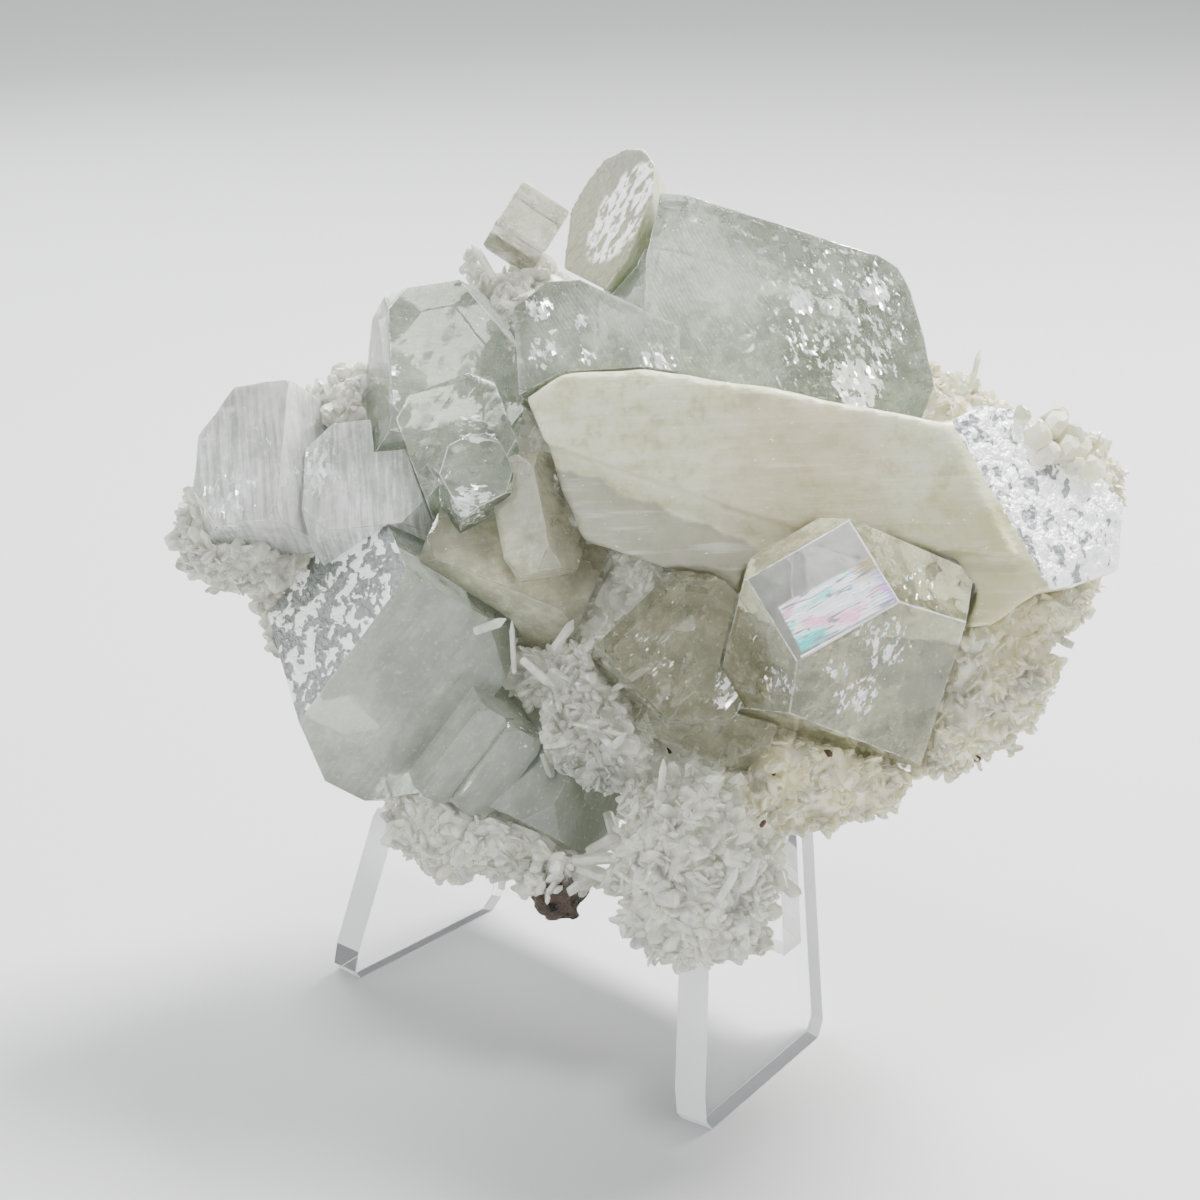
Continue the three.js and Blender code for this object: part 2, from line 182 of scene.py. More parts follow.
class Recipe:
    """A material in the making."""

    def __init__(self, name):
        self.material = bpy.data.materials.new(name)
        self.material.use_nodes = True
        # No material shines enough to light others, so none is sampled as a lamp.
        self.material.cycles.emission_sampling = "NONE"
        self.tree = self.material.node_tree
        self.tree.nodes.clear()
        self.result = self.tree.nodes.new("ShaderNodeOutputMaterial")

    def node(self, kind, settings, sockets, output=0):
        """A node's output in this material."""
        return new_node(self.tree, kind, settings, sockets, output)

    def place(self, squeeze=None):
        """The place on the object in metres, squeezed along three directions if they are given."""
        at = self.node("ShaderNodeTexCoord", {}, {}, "Object")
        if squeeze is None:
            return at
        x, y, z = (at.along(direction) for direction in squeeze)
        return self.node("ShaderNodeCombineXYZ", {}, {"X": x, "Y": y, "Z": z})

    def noise(self, at, scale, roughness=0.55, detail=3.0, distortion=0.0):
        """Soft clouds between 0 and 1."""
        sockets = {
            "Vector": at,
            "Scale": scale,
            "Detail": detail,
            "Roughness": roughness,
            "Distortion": distortion,
        }
        return self.node("ShaderNodeTexNoise", {}, sockets)

    def tilted_cells(self, at, scale):
        """A mosaic whose cells each slope their own way, like small broken plates."""
        sockets = {"Vector": at, "Scale": scale}
        lot = self.node("ShaderNodeTexVoronoi", {}, sockets, "Color")
        centre = Wire(self.tree, lot.socket.node.outputs["Position"])
        sockets = {0: at, "Scale": scale}
        scaled = self.node("ShaderNodeVectorMath", {"operation": "SCALE"}, sockets)
        inside = at.vector_math("SUBTRACT", scaled, centre)
        slope = at.vector_math("SUBTRACT", lot, (0.5, 0.5, 0.5))
        return at.vector_math("DOT_PRODUCT", inside, slope, output=1), lot

    def zone(self, centre, reach):
        """1 round a place of the slab, 0 from the reach on; depth counts for little."""
        at = self.place(ZONE_AXES)
        target = slab_point(*centre)
        spot = Vector([target.dot(axis) for axis in ZONE_AXES])
        gap = at.vector_math("DISTANCE", at, spot, output=1)
        return 1 - (gap / (reach * MM)).rise(0.35, 1.0)

    def mix(self, share, first, second):
        """A colour between two."""
        sockets = {0: share, 6: first, 7: second}
        return self.node("ShaderNodeMix", {"data_type": "RGBA"}, sockets, 2)

    def layered(self, colour, *layers):
        """A colour under others: a layer is a mask and the colour that shows where that is 1."""
        for mask, cover in layers:
            colour = self.mix(mask, colour, cover)
        return colour

    def bump(self, height, distance):
        """A normal for small relief: height 1 stands out by the distance, in metres."""
        sockets = {"Height": height, "Distance": distance, "Strength": 1.0}
        return self.node("ShaderNodeBump", {}, sockets)

    def shader(self, **sockets):
        """A Principled shader; underscores in names stand for spaces."""
        named = {key.replace("_", " "): value for key, value in sockets.items()}
        return self.node("ShaderNodeBsdfPrincipled", {"subsurface_method": "RANDOM_WALK"}, named)

    def blend(self, share, first, second):
        """A mixture of two shaders."""
        return self.node("ShaderNodeMixShader", {}, {0: share, 1: first, 2: second})

    def finish(self, surface, absorbed=None, density=0.0):
        """Links the surface, and the colour that a clear body keeps, and gives the material."""
        plug(self.tree, self.result.inputs["Surface"], surface)
        if absorbed is not None:
            body = self.node(
                "ShaderNodeVolumeAbsorption", {}, {"Color": (*absorbed, 1), "Density": density}
            )
            plug(self.tree, self.result.inputs["Volume"], body)
        return self.material


# ---------------------------------------------------------------------------------------------
# Settings


def length_setting(name, description, default):
    """A setting for a length, whose default is in millimetres."""
    return FloatProperty(name=name, description=description, default=default * MM, unit="LENGTH")


def colour_setting(name, description, *default):
    """A setting for a colour."""
    return FloatVectorProperty(
        name=name, description=description, default=default, size=3, subtype="COLOR"
    )


class ClusterCrystals(bpy.types.PropertyGroup):
    """Sizes and colours of the clear crystals."""

    weld: length_setting("Weld", "Edges shorter than this are closed up", 0.22)
    # The rims' pale colour is partly wear, partly painted highlight.
    rim: length_setting("Rim", "Width of the worn edges between faces", 0.09)
    ior: FloatProperty(name="IOR", description="Refraction of apophyllite", default=1.536)
    # The pearly faces' bright plates take this colour and glow in it: painted highlight.
    pearl: colour_setting("Pearl", "Colour of the pearly faces", 0.98, 0.985, 0.98)


class ClusterStilbite(bpy.types.PropertyGroup):
    """Sizes and colours of the stilbite."""

    voxel: length_setting("Voxel", "Size of the cells of the sheaf's surface", 0.34)
    fine_voxel: length_setting("Fine Voxel", "Size of the cells of the blade's surface", 0.2)
    cream: colour_setting("Cream", "Colour of the sheaf", 0.66, 0.67, 0.42)
    peach: colour_setting("Peach", "Colour of its warmer parts", 0.65, 0.57, 0.37)


class ClusterDruse(bpy.types.PropertyGroup):
    """Sizes and colours of the quartz crust."""

    voxel: length_setting("Voxel", "Size of the crust's cells", 0.55)
    relief: length_setting("Relief", "Depth of the crust's lumps", 0.55)
    count: IntProperty(name="Count", description="Small crystals tried on it", default=22000)
    length: length_setting("Length", "Mean length of a small crystal", 1.3)
    radius: length_setting("Radius", "Mean half width of a small crystal", 0.62)
    white: colour_setting("White", "Colour of the crust in front", 0.80, 0.81, 0.74)
    yellow: colour_setting("Yellow", "Colour of the crust at the right", 0.92, 0.88, 0.62)


class ClusterBasalt(bpy.types.PropertyGroup):
    """Sizes and colours of the basalt."""

    voxel: length_setting("Voxel", "Size of the surface's cells", 0.42)
    relief: length_setting("Relief", "Depth of its broken faces", 1.1)
    brown: colour_setting("Brown", "Colour of the fresh rock", 0.030, 0.022, 0.016)


class ClusterEasel(bpy.types.PropertyGroup):
    """Sizes and colours of the acrylic easel."""

    rim: length_setting("Rim", "Width of the eased edges of the sheet", 0.22)
    weld: length_setting("Weld", "Edges shorter than this are closed up", 0.05)
    ior: FloatProperty(name="IOR", description="Refraction of acrylic", default=1.491)


class ClusterStage(bpy.types.PropertyGroup):
    """The floor, the lights and the camera."""

    floor: colour_setting("Floor", "Colour of the floor", 0.56, 0.57, 0.58)
    key: FloatProperty(name="Key", description="Power of the main light in watts", default=13.5)
    fill: FloatProperty(name="Fill", description="Power of the fill light in watts", default=2.4)
    sky: FloatProperty(name="Sky", description="Strength of the light all round", default=0.30)
    lens: FloatProperty(
        name="Lens",
        description="Focal length for a sensor 36 mm wide",
        default=72.0,
        unit="CAMERA",
    )
    pitch: FloatProperty(
        name="Pitch",
        description="Angle of the view below the horizon",
        default=math.radians(20),
        unit="ROTATION",
    )


# ---------------------------------------------------------------------------------------------
# Meshes

# Corners closer than the first length are one, faces flatter against each other than the angle
# are joined, and edges shorter than the second length are slivers.
SAME_CORNER = 0.004 * MM
FLAT = math.radians(1.5)
SLIVER = 0.01 * MM

# The ripple on crystal faces: the longest edge that carries it, how often longer ones are
# halved, its waves per metre, and the share of it that is left on calm faces.
RIPPLE_EDGE = 0.9 * MM
RIPPLE_SPLITS = 7
RIPPLE_WAVES = 300
CALM_SHARE = 0.2


def node_mesh(node):
    """A copy of a node's mesh."""
    mesh = bmesh.new()
    mesh.from_mesh(frame["nodes"][node].data)
    return mesh


def welded(node, shortest):
    """A copy of a node's mesh with its corners joined and its flat faces whole."""
    mesh = node_mesh(node)
    bmesh.ops.remove_doubles(mesh, verts=mesh.verts, dist=SAME_CORNER)
    bmesh.ops.dissolve_limit(mesh, angle_limit=FLAT, verts=mesh.verts, edges=mesh.edges)
    bmesh.ops.remove_doubles(mesh, verts=mesh.verts, dist=shortest)
    bmesh.ops.dissolve_degenerate(mesh, edges=mesh.edges, dist=SLIVER)
    bmesh.ops.recalc_face_normals(mesh, faces=mesh.faces)
    return mesh


def rimmed(mesh, width, sharper=12):
    """Gives edges sharper than so many degrees a narrow worn face in the second material."""
    edges = [edge for edge in mesh.edges if edge.calc_face_angle(0) > math.radians(sharper)]
    bmesh.ops.bevel(
        mesh,
        geom=edges,
        offset=width,
        offset_type="OFFSET",
        segments=2,
        profile=0.6,
        affect="EDGES",
        clamp_overlap=True,
        material=1,
    )


def rippled(mesh, depth, calm):
    """Splits a mesh into small triangles and gives its faces a gentle ripple.

    Where `calm` holds two limits, it is faint left of the first and full right of the second.
    """
    bmesh.ops.triangulate(mesh, faces=mesh.faces)
    for _ in range(RIPPLE_SPLITS):
        edges = [edge for edge in mesh.edges if edge.calc_length() > RIPPLE_EDGE]
        if not edges:
            break
        bmesh.ops.subdivide_edges(mesh, edges=edges, cuts=1)
        bmesh.ops.triangulate(mesh, faces=[face for face in mesh.faces if len(face.verts) > 3])
    mesh.normal_update()
    limits = [slab_point(limit, 0, 0).x for limit in calm]

    def ripple(place):
        share = 1.0
        if limits:
            left, right = limits
            full = min(1.0, max(0.0, (place.x - left) / (right - left)))
            share = CALM_SHARE + (1 - CALM_SHARE) * full
        return share * depth * noise.fractal(place * RIPPLE_WAVES, 0.7, 2.1, 3)

    displace(mesh, ripple)


def voxels(node, size):
    """A copy of a node's mesh rebuilt from small even cells."""
    mesh = frame["nodes"][node].data.copy()
    helper = bpy.data.objects.new("helper", mesh)
    bpy.context.scene.collection.objects.link(helper)
    remesh = helper.modifiers.new("remesh", "REMESH")
    remesh.mode = "VOXEL"
    remesh.voxel_size = size
    bpy.context.view_layer.update()
    graph = bpy.context.evaluated_depsgraph_get()
    rebuilt = bmesh.new()
    rebuilt.from_object(helper, graph)
    bpy.data.objects.remove(helper)
    rebuilt.normal_update()
    return rebuilt


def settle(mesh, times):
    """Softens a mesh by moving every corner halfway towards its neighbours."""
    for _ in range(times):
        bmesh.ops.smooth_vert(
            mesh, verts=mesh.verts, factor=0.5, use_axis_x=True, use_axis_y=True, use_axis_z=True
        )
    mesh.normal_update()


def displace(mesh, depth):
    """Moves every corner along its normal by what depth(place) says."""
    moves = [vert.normal * depth(vert.co) for vert in mesh.verts]
    for vert, move in zip(mesh.verts, moves):
        vert.co += move
    mesh.normal_update()


class Solid:
    """A node's body, asked whether places lie inside it."""

    PROBE = Vector((0.137, 0.291, 0.947)).normalized()
    STEP = PROBE * 0.001 * MM

    def __init__(self, node):
        mesh = node_mesh(node)
        self.tree = BVHTree.FromBMesh(mesh)
        mesh.free()
        self.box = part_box(node)

    def near(self, place, margin):
        """Whether a place lies in the body's box grown by a margin."""
        low, high = self.box
        return all(a - margin < x < b + margin for x, a, b in zip(place, low, high))

    def holds(self, place):
        """Whether a place lies inside: a ray from there leaves through an odd number of walls."""
        if not self.near(place, 0):
            return False
        walls = 0
        spot = self.tree.ray_cast(place, self.PROBE)[0]
        while spot is not None:
            walls += 1
            spot = self.tree.ray_cast(spot + self.STEP, self.PROBE)[0]
        return walls % 2 == 1

    def depth(self, place):
        """How deep a place lies inside; negative outside."""
        distance = self.tree.find_nearest(place)[3]
        return distance if self.holds(place) else -distance

    def touches(self, place, margin):
        """Whether a place lies inside or closer to the surface than the margin."""
        if not self.near(place, margin):
            return False
        return self.tree.find_nearest(place)[3] < margin or self.holds(place)


def add_piece(name, mesh, materials, slot, nodes=(), smooth=False):
    """Makes a mesh a piece of the object, on its body and with its finish."""
    data = bpy.data.meshes.new(name)
    mesh.to_mesh(data)
    mesh.free()
    for material in materials:
        data.materials.append(material)
    for face in data.polygons:
        face.use_smooth = smooth
    piece = bpy.data.objects.new(name, data)
    bpy.context.scene.collection.objects.link(piece)
    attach(piece, "root")
    if nodes:
        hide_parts(*nodes)
    return piece


# ---------------------------------------------------------------------------------------------
# The clear crystals

GREY_GREEN = (0.70, 0.78, 0.67)
OLIVE = (0.74, 0.71, 0.54)
SMOKE = (0.76, 0.755, 0.56)
WHITISH = (0.84, 0.87, 0.84)
MILK_GREEN = (0.475, 0.52, 0.445)
MILK_STONE = (0.42, 0.43, 0.35)
MILK_OLIVE = (0.58, 0.57, 0.41)
MILK_WHITE = (0.82, 0.88, 0.82)
MILK_SMOKE = (0.39, 0.39, 0.255)
PALE = (0.86, 0.87, 0.80)

# The way that the lower left block's base faces look, and the one of the sheaf's pearly end.
LEFT_BASE = (-77, 45, 46)
SHEAF_END = (0.35, 0.2, 0.9)


class Look(NamedTuple):
    """How a crystal looks. Its ways and places are the slab's.

    A spot in clouds or zones is a place, how far it reaches and how strong it is.
    """

    keeps: tuple  # the colour that its clear body keeps
    density: float  # and how strongly it does
    milk: tuple  # the colour of its clouds
    cloud: float  # the share of cloud in it
    spread: float  # how much that share varies
    lines: tuple  # the way across its growth lines
    # Glints are painted highlights that glow; the zones hold more of them.
    glints: float  # how much it glints
    zones: tuple  # spots that glint more
    clouds: tuple = ()  # spots with more cloud
    relief: float = 0.04  # the height of its growth lines
    ripple: float = 0.04  # the depth of the ripple on its faces
    calm: tuple = ()  # the ripple is faint left of the first limit and full from the second
    low: float = 0.88  # how dark its darker clouds are
    lined: float = 0.25  # the share of its clouds' pattern that follows the growth lines
    fire: bool = False  # whether some glints have rainbow colours
    pearly: tuple = ()  # the ways that its pearly faces look
    pearly_left_of: float = 100.0  # and where those end at the right


LOOKS = {
    "apophyllite_front_gem": Look(
        keeps=SMOKE,
        density=95,
        milk=MILK_SMOKE,
        cloud=0.16,
        spread=0.42,
        lines=(97, -25, 7),
        ripple=0.03,
        pearly=((-3, 16, 99),),
        fire=True,
        glints=0.30,
        zones=(
            ((23.6, -3.4, 16.0), 3.6, 1.0),
            ((21.8, -7.8, 14.0), 3.0, 0.9),
            ((19.2, -5.4, 15.0), 2.2, 0.8),
            ((15.0, -6.7, 14.0), 2.4, 0.9),
            ((26.6, 0.9, 15.0), 3.2, 0.7),
        ),
    ),
    "apophyllite_front_small": Look(
        keeps=SMOKE,
        density=34,
        milk=MILK_SMOKE,
        cloud=0.16,
        spread=0.26,
        lines=(-70, 70, -10),
        relief=0.05,
        glints=0.55,
        zones=(((11.6, -8.3, 9.0), 3.5, 0.9), ((5.0, -4.3, 9.0), 3.0, 0.5)),
    ),
    "apophyllite_lower_left": Look(
        keeps=GREY_GREEN,
        density=36,
        milk=MILK_GREEN,
        cloud=0.38,
        spread=0.10,
        clouds=(((-19.0, -9.0, 4.0), 14.0, 0.20), ((-24.0, -14.0, 2.0), 6.0, 0.20)),
        lines=LEFT_BASE,
        relief=0.03,
        ripple=0.03,
        pearly=(LEFT_BASE,),
        pearly_left_of=-18.0,
        glints=0.22,
        zones=(((-5.5, -11.0, 4.0), 4.5, 0.5),),
    ),
    "apophyllite_upper_left": Look(
        keeps=GREY_GREEN,
        density=85,
        milk=MILK_GREEN,
        cloud=0.22,
        spread=0.18,
        clouds=(((-15.5, 23.0, 3.0), 6.0, 0.16), ((-11.3, 9.4, 8.0), 4.4, 0.12)),
        lines=(10, 96, 0),
        relief=0.05,
        ripple=0.05,
        glints=0.45,
        zones=(
            ((-18.6, 20.6, 3.0), 1.2, 1.3),
            ((-18.6, 18.2, 3.0), 1.2, 1.3),
            ((-10.8, 15.4, 6.0), 3.0, 0.7),
            ((-11.4, 8.4, 8.0), 2.6, 1.2),
        ),
    ),
    "apophyllite_far_left": Look(
        keeps=WHITISH,
        density=10,
        milk=MILK_WHITE,
        cloud=0.50,
        spread=0.24,
        low=0.70,
        lined=0.7,
        clouds=(((-19.7, 9.9, 3.0), 8.0, 0.30), ((-35.0, 12.0, 0.0), 6.0, 0.30)),
        lines=(96, 10, 0),
        relief=0.09,
        ripple=0.12,
        glints=0.75,
        zones=(((-34.6, 9.6, 0.0), 4.6, 1.0), ((-26.4, 12.0, 2.0), 3.6, 1.2)),
    ),
    "apophyllite_centre": Look(
        keeps=OLIVE,
        density=30,
        milk=MILK_OLIVE,
        cloud=0.24,
        spread=0.16,
        clouds=(((-8.5, 1.5, 4.0), 8.0, 0.46),),
        lines=(-19, 97, -15),
        glints=0.35,
        zones=(((-3.0, 11.4, 6.0), 2.4, 0.5),),
    ),
    "apophyllite_small_cube": Look(
        keeps=OLIVE,
        density=150,
        milk=MILK_STONE,
        cloud=0.10,
        spread=0.66,
        lines=(50, 85, -35),
        glints=0.30,
        zones=(((-5.4, 35.6, 0.0), 1.6, 1.2), ((-8.2, 33.0, 0.0), 1.4, 1.0)),
    ),
    "apophyllite_top_block": Look(
        keeps=GREY_GREEN,
        density=75,
        milk=MILK_GREEN,
        cloud=0.16,
        spread=0.28,
        clouds=(((8.5, 24.0, 2.0), 12.0, 0.42), ((-1.0, 22.5, 5.0), 7.0, 0.24)),
        lines=(88, 45, 0),
        relief=0.08,
        ripple=0.13,
        calm=(8.0, 17.0),
        glints=0.25,
        zones=(
            ((21.5, 26.0, 2.0), 11.5, 0.75),
            ((-5.4, 25.4, 5.0), 1.9, 1.25),
            ((-5.0, 21.6, 5.0), 2.4, 1.15),
            ((-1.6, 24.2, 5.0), 1.6, 1.3),
            ((-0.8, 21.4, 5.0), 1.8, 1.1),
            ((5.0, 20.6, 5.0), 2.8, 1.1),
            ((22.6, 18.8, 3.0), 3.4, 1.0),
            ((24.6, 27.6, 2.0), 2.0, 1.0),
            ((18.0, 26.4, 3.0), 1.6, 1.0),
        ),
    ),
}

# How many there are in a metre of a crystal, across its growth lines: growth steps, fine lines
# and glints. Along the lines the glints are longer.
GROWTH_STEPS = 520
FINE_LINES = 2900
GLINTS_ACROSS = 3400
GLINTS_ALONG = 1500

# Places where the worn edges are painted paler as highlights, and how far around them.
PAINTED_BRIGHT_EDGES = [((-10.6, 10.9, 8.0), 4.6), ((20.2, -2.9, 19.0), 5.0), ((-26.0, -5.0, 6.0), 9.0)]


def painted_glint_surface(recipe, grain, normal_reach, fire):
    """Small cleavages that each slope their own way, painted as glowing highlights, some of them
    in rainbow colours.
    """
    plates, lot = recipe.tilted_cells(grain, 1.0)
    hue = recipe.mix(lot.along((0.6, 0.2, 0.2)), (0.84, 0.90, 0.93), (1.0, 0.99, 0.96))
    if fire:
        cold = recipe.mix(lot.along((0, 0, 1)).rise(0.55, 0.75), hue, (0.55, 0.82, 1.0))
        hue = recipe.mix(lot.along((0, 1, 0)).rise(0.6, 0.8), cold, (1.0, 0.76, 0.76))
    return recipe.shader(
        Base_Color=hue,
        Roughness=0.16,
        Metallic=0.25,
        Specular_IOR_Level=0.8,
        # The glints glow: painted highlights.
        Emission_Color=hue,
        Emission_Strength=0.16,
        Normal=recipe.bump(plates, normal_reach),
    )


def milk_shader(recipe, at, look, axes, normal, settings):
    """The cloudy parts of a crystal: two tones of its milk with pale specks."""
    way, side, third = axes
    stria = recipe.noise(recipe.place((way * 2600, side * 190, third * 190)), 1.0, 0.6)
    tone = recipe.noise(at, 110, 0.6) * (1 - look.lined) + stria * look.lined
    low = tuple(part * look.low for part in look.milk)
    high = tuple(min(1.0, part * 1.26) for part in look.milk)
    speck = recipe.noise(at, 2100, 0.65).rise(0.58, 0.66)
    return recipe.shader(
        Base_Color=recipe.mix(speck * 0.5, recipe.mix(tone.rise(0.38, 0.62), low, high), PALE),
        Roughness=recipe.noise(at, 500) * 0.14 + 0.05,
        IOR=settings.ior,
        Coat_Weight=0.5,
        Coat_Roughness=0.03,
        Subsurface_Weight=0.25,
        Subsurface_Radius=(1.2 * MM, 1.25 * MM, 1.1 * MM),
        Subsurface_Scale=1.0,
        Normal=normal,
    )


def crystal_surface(name, look, settings):
    """Clear apophyllite with clouds inside, growth lines and cleavages with painted glints."""
    recipe = Recipe(name)
    at = recipe.place()
    way = slab_direction(*look.lines).normalized()
    side = way.orthogonal().normalized()
    third = way.cross(side)
    line = at.along(way)
    waves = recipe.noise(at, 130, detail=2.0)
    steps = (line * GROWTH_STEPS + waves * 2.4).frac()
    fine = (line * FINE_LINES + waves * 5).frac()
    relief = steps * 0.6 + fine * 0.2 + recipe.noise(at, 360, 0.62) * 0.8
    normal = recipe.bump(relief, look.relief * MM)
    cloud = recipe.noise(at, 170, 0.6).rise(0.3, 0.72)
    patch = recipe.noise(at, 640, 0.72).rise(0.42, 0.62)
    texture = cloud * 0.55 + patch * 0.45
    share = texture * look.spread + look.cloud
    for centre, reach, strength in look.clouds:
        share = share + recipe.zone(centre, reach) * (texture * 0.6 + 0.6) * strength
    clear = recipe.shader(
        Base_Color=(0.99, 0.99, 0.965),
        Roughness=recipe.noise(at, 300).rise(0.5, 0.8) * 0.12 + 0.01,
        IOR=settings.ior,
        Transmission_Weight=1.0,
        Specular_IOR_Level=0.35,
        Normal=normal,
    )
    milk = milk_shader(recipe, at, look, (way, side, third), normal, settings)
    body = recipe.blend(share, clear, milk)
    axes = (way * GLINTS_ACROSS, side * GLINTS_ALONG, third * GLINTS_ALONG)
    grain = recipe.place(axes)
    glint = painted_glint_surface(recipe, grain, 0.6 * MM, look.fire)
    speckle = recipe.noise(grain, 0.6, 0.65)
    # Where the painted glints show: a few everywhere, more in the zones.
    mask = recipe.noise(at, 260).rise(0.35, 0.7) * look.glints
    for centre, reach, strength in look.zones:
        mask = mask + recipe.zone(centre, reach) * strength
    level = 0.74 - mask * 0.22
    spark = (speckle - level).rise(0.0, 0.04) * 0.85
    return recipe.finish(recipe.blend(spark, body, glint), look.keeps, look.density)


def rim_wear_and_highlight_surface(settings):
    """The worn edges between crystal faces, pale partly from wear and partly as painted highlight.
    """
    recipe = Recipe("crystal_rim_wear_and_highlight")
    at = recipe.place()
    worn = recipe.noise(at, 900)
    pale = recipe.shader(
        Base_Color=recipe.mix(worn, (0.66, 0.69, 0.63), (0.90, 0.92, 0.88)),
        Roughness=worn * 0.3 + 0.06,
        IOR=settings.ior,
    )
    clear = recipe.shader(
        Base_Color=(0.95, 0.96, 0.93),
        Roughness=0.06,
        IOR=settings.ior,
        Transmission_Weight=1.0,
    )
    bright = recipe.zone(*PAINTED_BRIGHT_EDGES[0])
    for place, reach in PAINTED_BRIGHT_EDGES[1:]:
        bright = bright.most(recipe.zone(place, reach))
    share = worn.rise(0.42, 0.62) * 0.4 + 0.5 - bright * 0.7
    return recipe.finish(recipe.blend(share.most(0.0), pale, clear))


def pearl_highlight_surface(name, settings, size, way, cover, dull):
    """A pearly face that looks a certain way: bright plates cover a share of a dull ground."""
    recipe = Recipe(name)
    out = slab_direction(*way).normalized()
    down = (OUTWARD - out * out.dot(OUTWARD)).normalized()
    at = recipe.place((out.cross(down), down * max(0.35, out.dot(OUTWARD)), out))
    blob = recipe.noise(at, 1 / size, 0.5, detail=2.0, distortion=0.4)
    patch = recipe.noise(at, 0.2 / size, 0.6)
    fine = recipe.noise(at, 2.2 / size, 0.6)
    low = 0.68 - cover * 0.3
    # The bright plates are painted highlights.
    flash = (blob + (patch - 0.5) * 0.55 + (fine - 0.5) * 0.16).rise(low, low + 0.045)
    ground = recipe.mix(fine.rise(0.38, 0.62), tuple(part * 0.62 for part in dull), dull)
    bright = recipe.mix(fine.rise(0.35, 0.6), (0.84, 0.88, 0.90), settings.pearl)
    surface = recipe.shader(
        Base_Color=recipe.mix(flash, ground, bright),
        Roughness=0.30 - flash * 0.12,
        Specular_IOR_Level=0.8,
        Metallic=flash * 0.2,
        IOR=settings.ior,
        # The bright plates glow: painted highlights.
        Emission_Color=recipe.mix(flash, (0, 0, 0), settings.pearl),
        Emission_Strength=0.5,
        Normal=recipe.bump(blob + fine * 0.5, size * 0.7),
    )
    return recipe.finish(surface)


def painted_window_surface(settings):
    """The front gem's base: a bright window with rainbow bands in a clear face, a glowing painted
    reflection.
    """
    recipe = Recipe("gem_painted_window")
    at = recipe.place()
    along = slab_direction(0.88, 0.475, 0).normalized()
    across = slab_direction(0.475, -0.88, 0).normalized()
    out = along.cross(across)
    # The window's middle, and in millimetres from there half its length, its top and its foot.
    middle = slab_point(19.9, 0.2, 19.5)
    half, top, foot = 5.1, 1.9, 2.42
    drift = recipe.noise(at, 260, 0.6) - 0.5
    length = (at.along(along) - middle.dot(along)) / MM + drift * 1.0
    height = (at.along(across) - middle.dot(across)) / MM + drift * 0.7
    inside = (half - length.magnitude()).rise(0.0, 0.25) * (height + top).rise(0.0, 0.3)
    plain = (at.along(across) - middle.dot(across)) / MM
    # A painted highlight along the window's foot.
    edge = (plain - (foot + 0.1)).rise(0.0, 0.1)
    edge = edge * (half + 0.3 - length.magnitude()).rise(0.0, 0.2)
    inside = (inside * (foot - plain).rise(0.0, 0.1)).most(edge)
    grain = recipe.place((along * 330, across * 2900, out * 1600))
    band = recipe.noise(grain, 1.0, 0.62, distortion=1.2)
    hue = recipe.noise(recipe.place((along * 190, across * 420, out * 400)), 1.0, distortion=1.0)
    corner = (-1.6 - length).rise(0.0, 1.4) * (height - 0.9).rise(0.0, 1.0)
    far = (length - 1.2).rise(0.0, 1.8) * (0.3 - height).rise(0.0, 1.4) * 0.9
    silver, pink, mint = (0.90, 0.96, 1.0), (1.0, 0.50, 0.74), (0.30, 0.88, 0.90)
    teal, violet, gold = (0.02, 0.60, 0.56), (0.20, 0.14, 0.82), (0.40, 0.30, 0.08)
    rainbow = recipe.layered(
        silver,
        (hue.rise(0.52, 0.62), pink),
        ((0.45 - hue).rise(0.0, 0.08), mint),
        (corner * 0.9, teal),
        ((length - 2.6).rise(0.0, 1.8) * 0.9, violet),
        (far, gold),
    )
    lined = recipe.mix(band.rise(0.38, 0.50), (0.24, 0.30, 0.33), rainbow)
    bright = recipe.mix(edge, lined, (0.96, 0.98, 1.0))
    shine = recipe.shader(
        Base_Color=bright,
        Roughness=0.22,
        Metallic=0.1,
        IOR=settings.ior,
        # The window glows: painted reflection.
        Emission_Color=bright,
        Emission_Strength=0.42,
        Normal=recipe.bump(band + hue * 0.5, 0.35 * MM),
    )
    haze = recipe.noise(at, 420).rise(0.3, 0.7)
    calm = recipe.shader(
        Base_Color=recipe.mix(haze, (0.28, 0.29, 0.26), (0.42, 0.44, 0.42)),
        Roughness=0.18,
        IOR=settings.ior,
    )
    clear = recipe.shader(
        Base_Color=(0.94, 0.96, 0.96),
        Roughness=0.04,
        IOR=settings.ior,
        Transmission_Weight=1.0,
    )
    return recipe.finish(recipe.blend(inside * 0.95, recipe.blend(0.72, clear, calm), shine))


def is_parallel(normal, ways):
    """Whether a face looks along one of these directions of the slab, to about ten degrees."""
    return any(normal.dot(slab_direction(*way).normalized()) > 0.985 for way in ways)


def add_crystal(node, look, settings, rim, base):
    """Dresses one crystal: rims on its edges, and pearly base faces."""
    mesh = welded(node, settings.weld)
    rimmed(mesh, settings.rim)
    limit = slab_point(look.pearly_left_of, 0, 0).x
    for face in mesh.faces:
        left = face.calc_center_median().x < limit
        if face.material_index == 0 and left and is_parallel(face.normal, look.pearly):
            face.material_index = 2
    rippled(mesh, look.ripple * MM, look.calm)
    body = crystal_surface(f"{node}_body", look, settings)
    slots = {part["node"]: part["material_slot"] for part in frame["record"]["subparts"]}
    piece = add_piece(f"{node}_crystal", mesh, [body, rim, base], slots[node], [node], True)
    piece.data.set_sharp_from_angle(angle=math.radians(14))


# ---------------------------------------------------------------------------------------------
# Veils and flakes inside the clear crystals

# How often a place inside a crystal is looked for, for each one that is wanted.
TRIES = 60

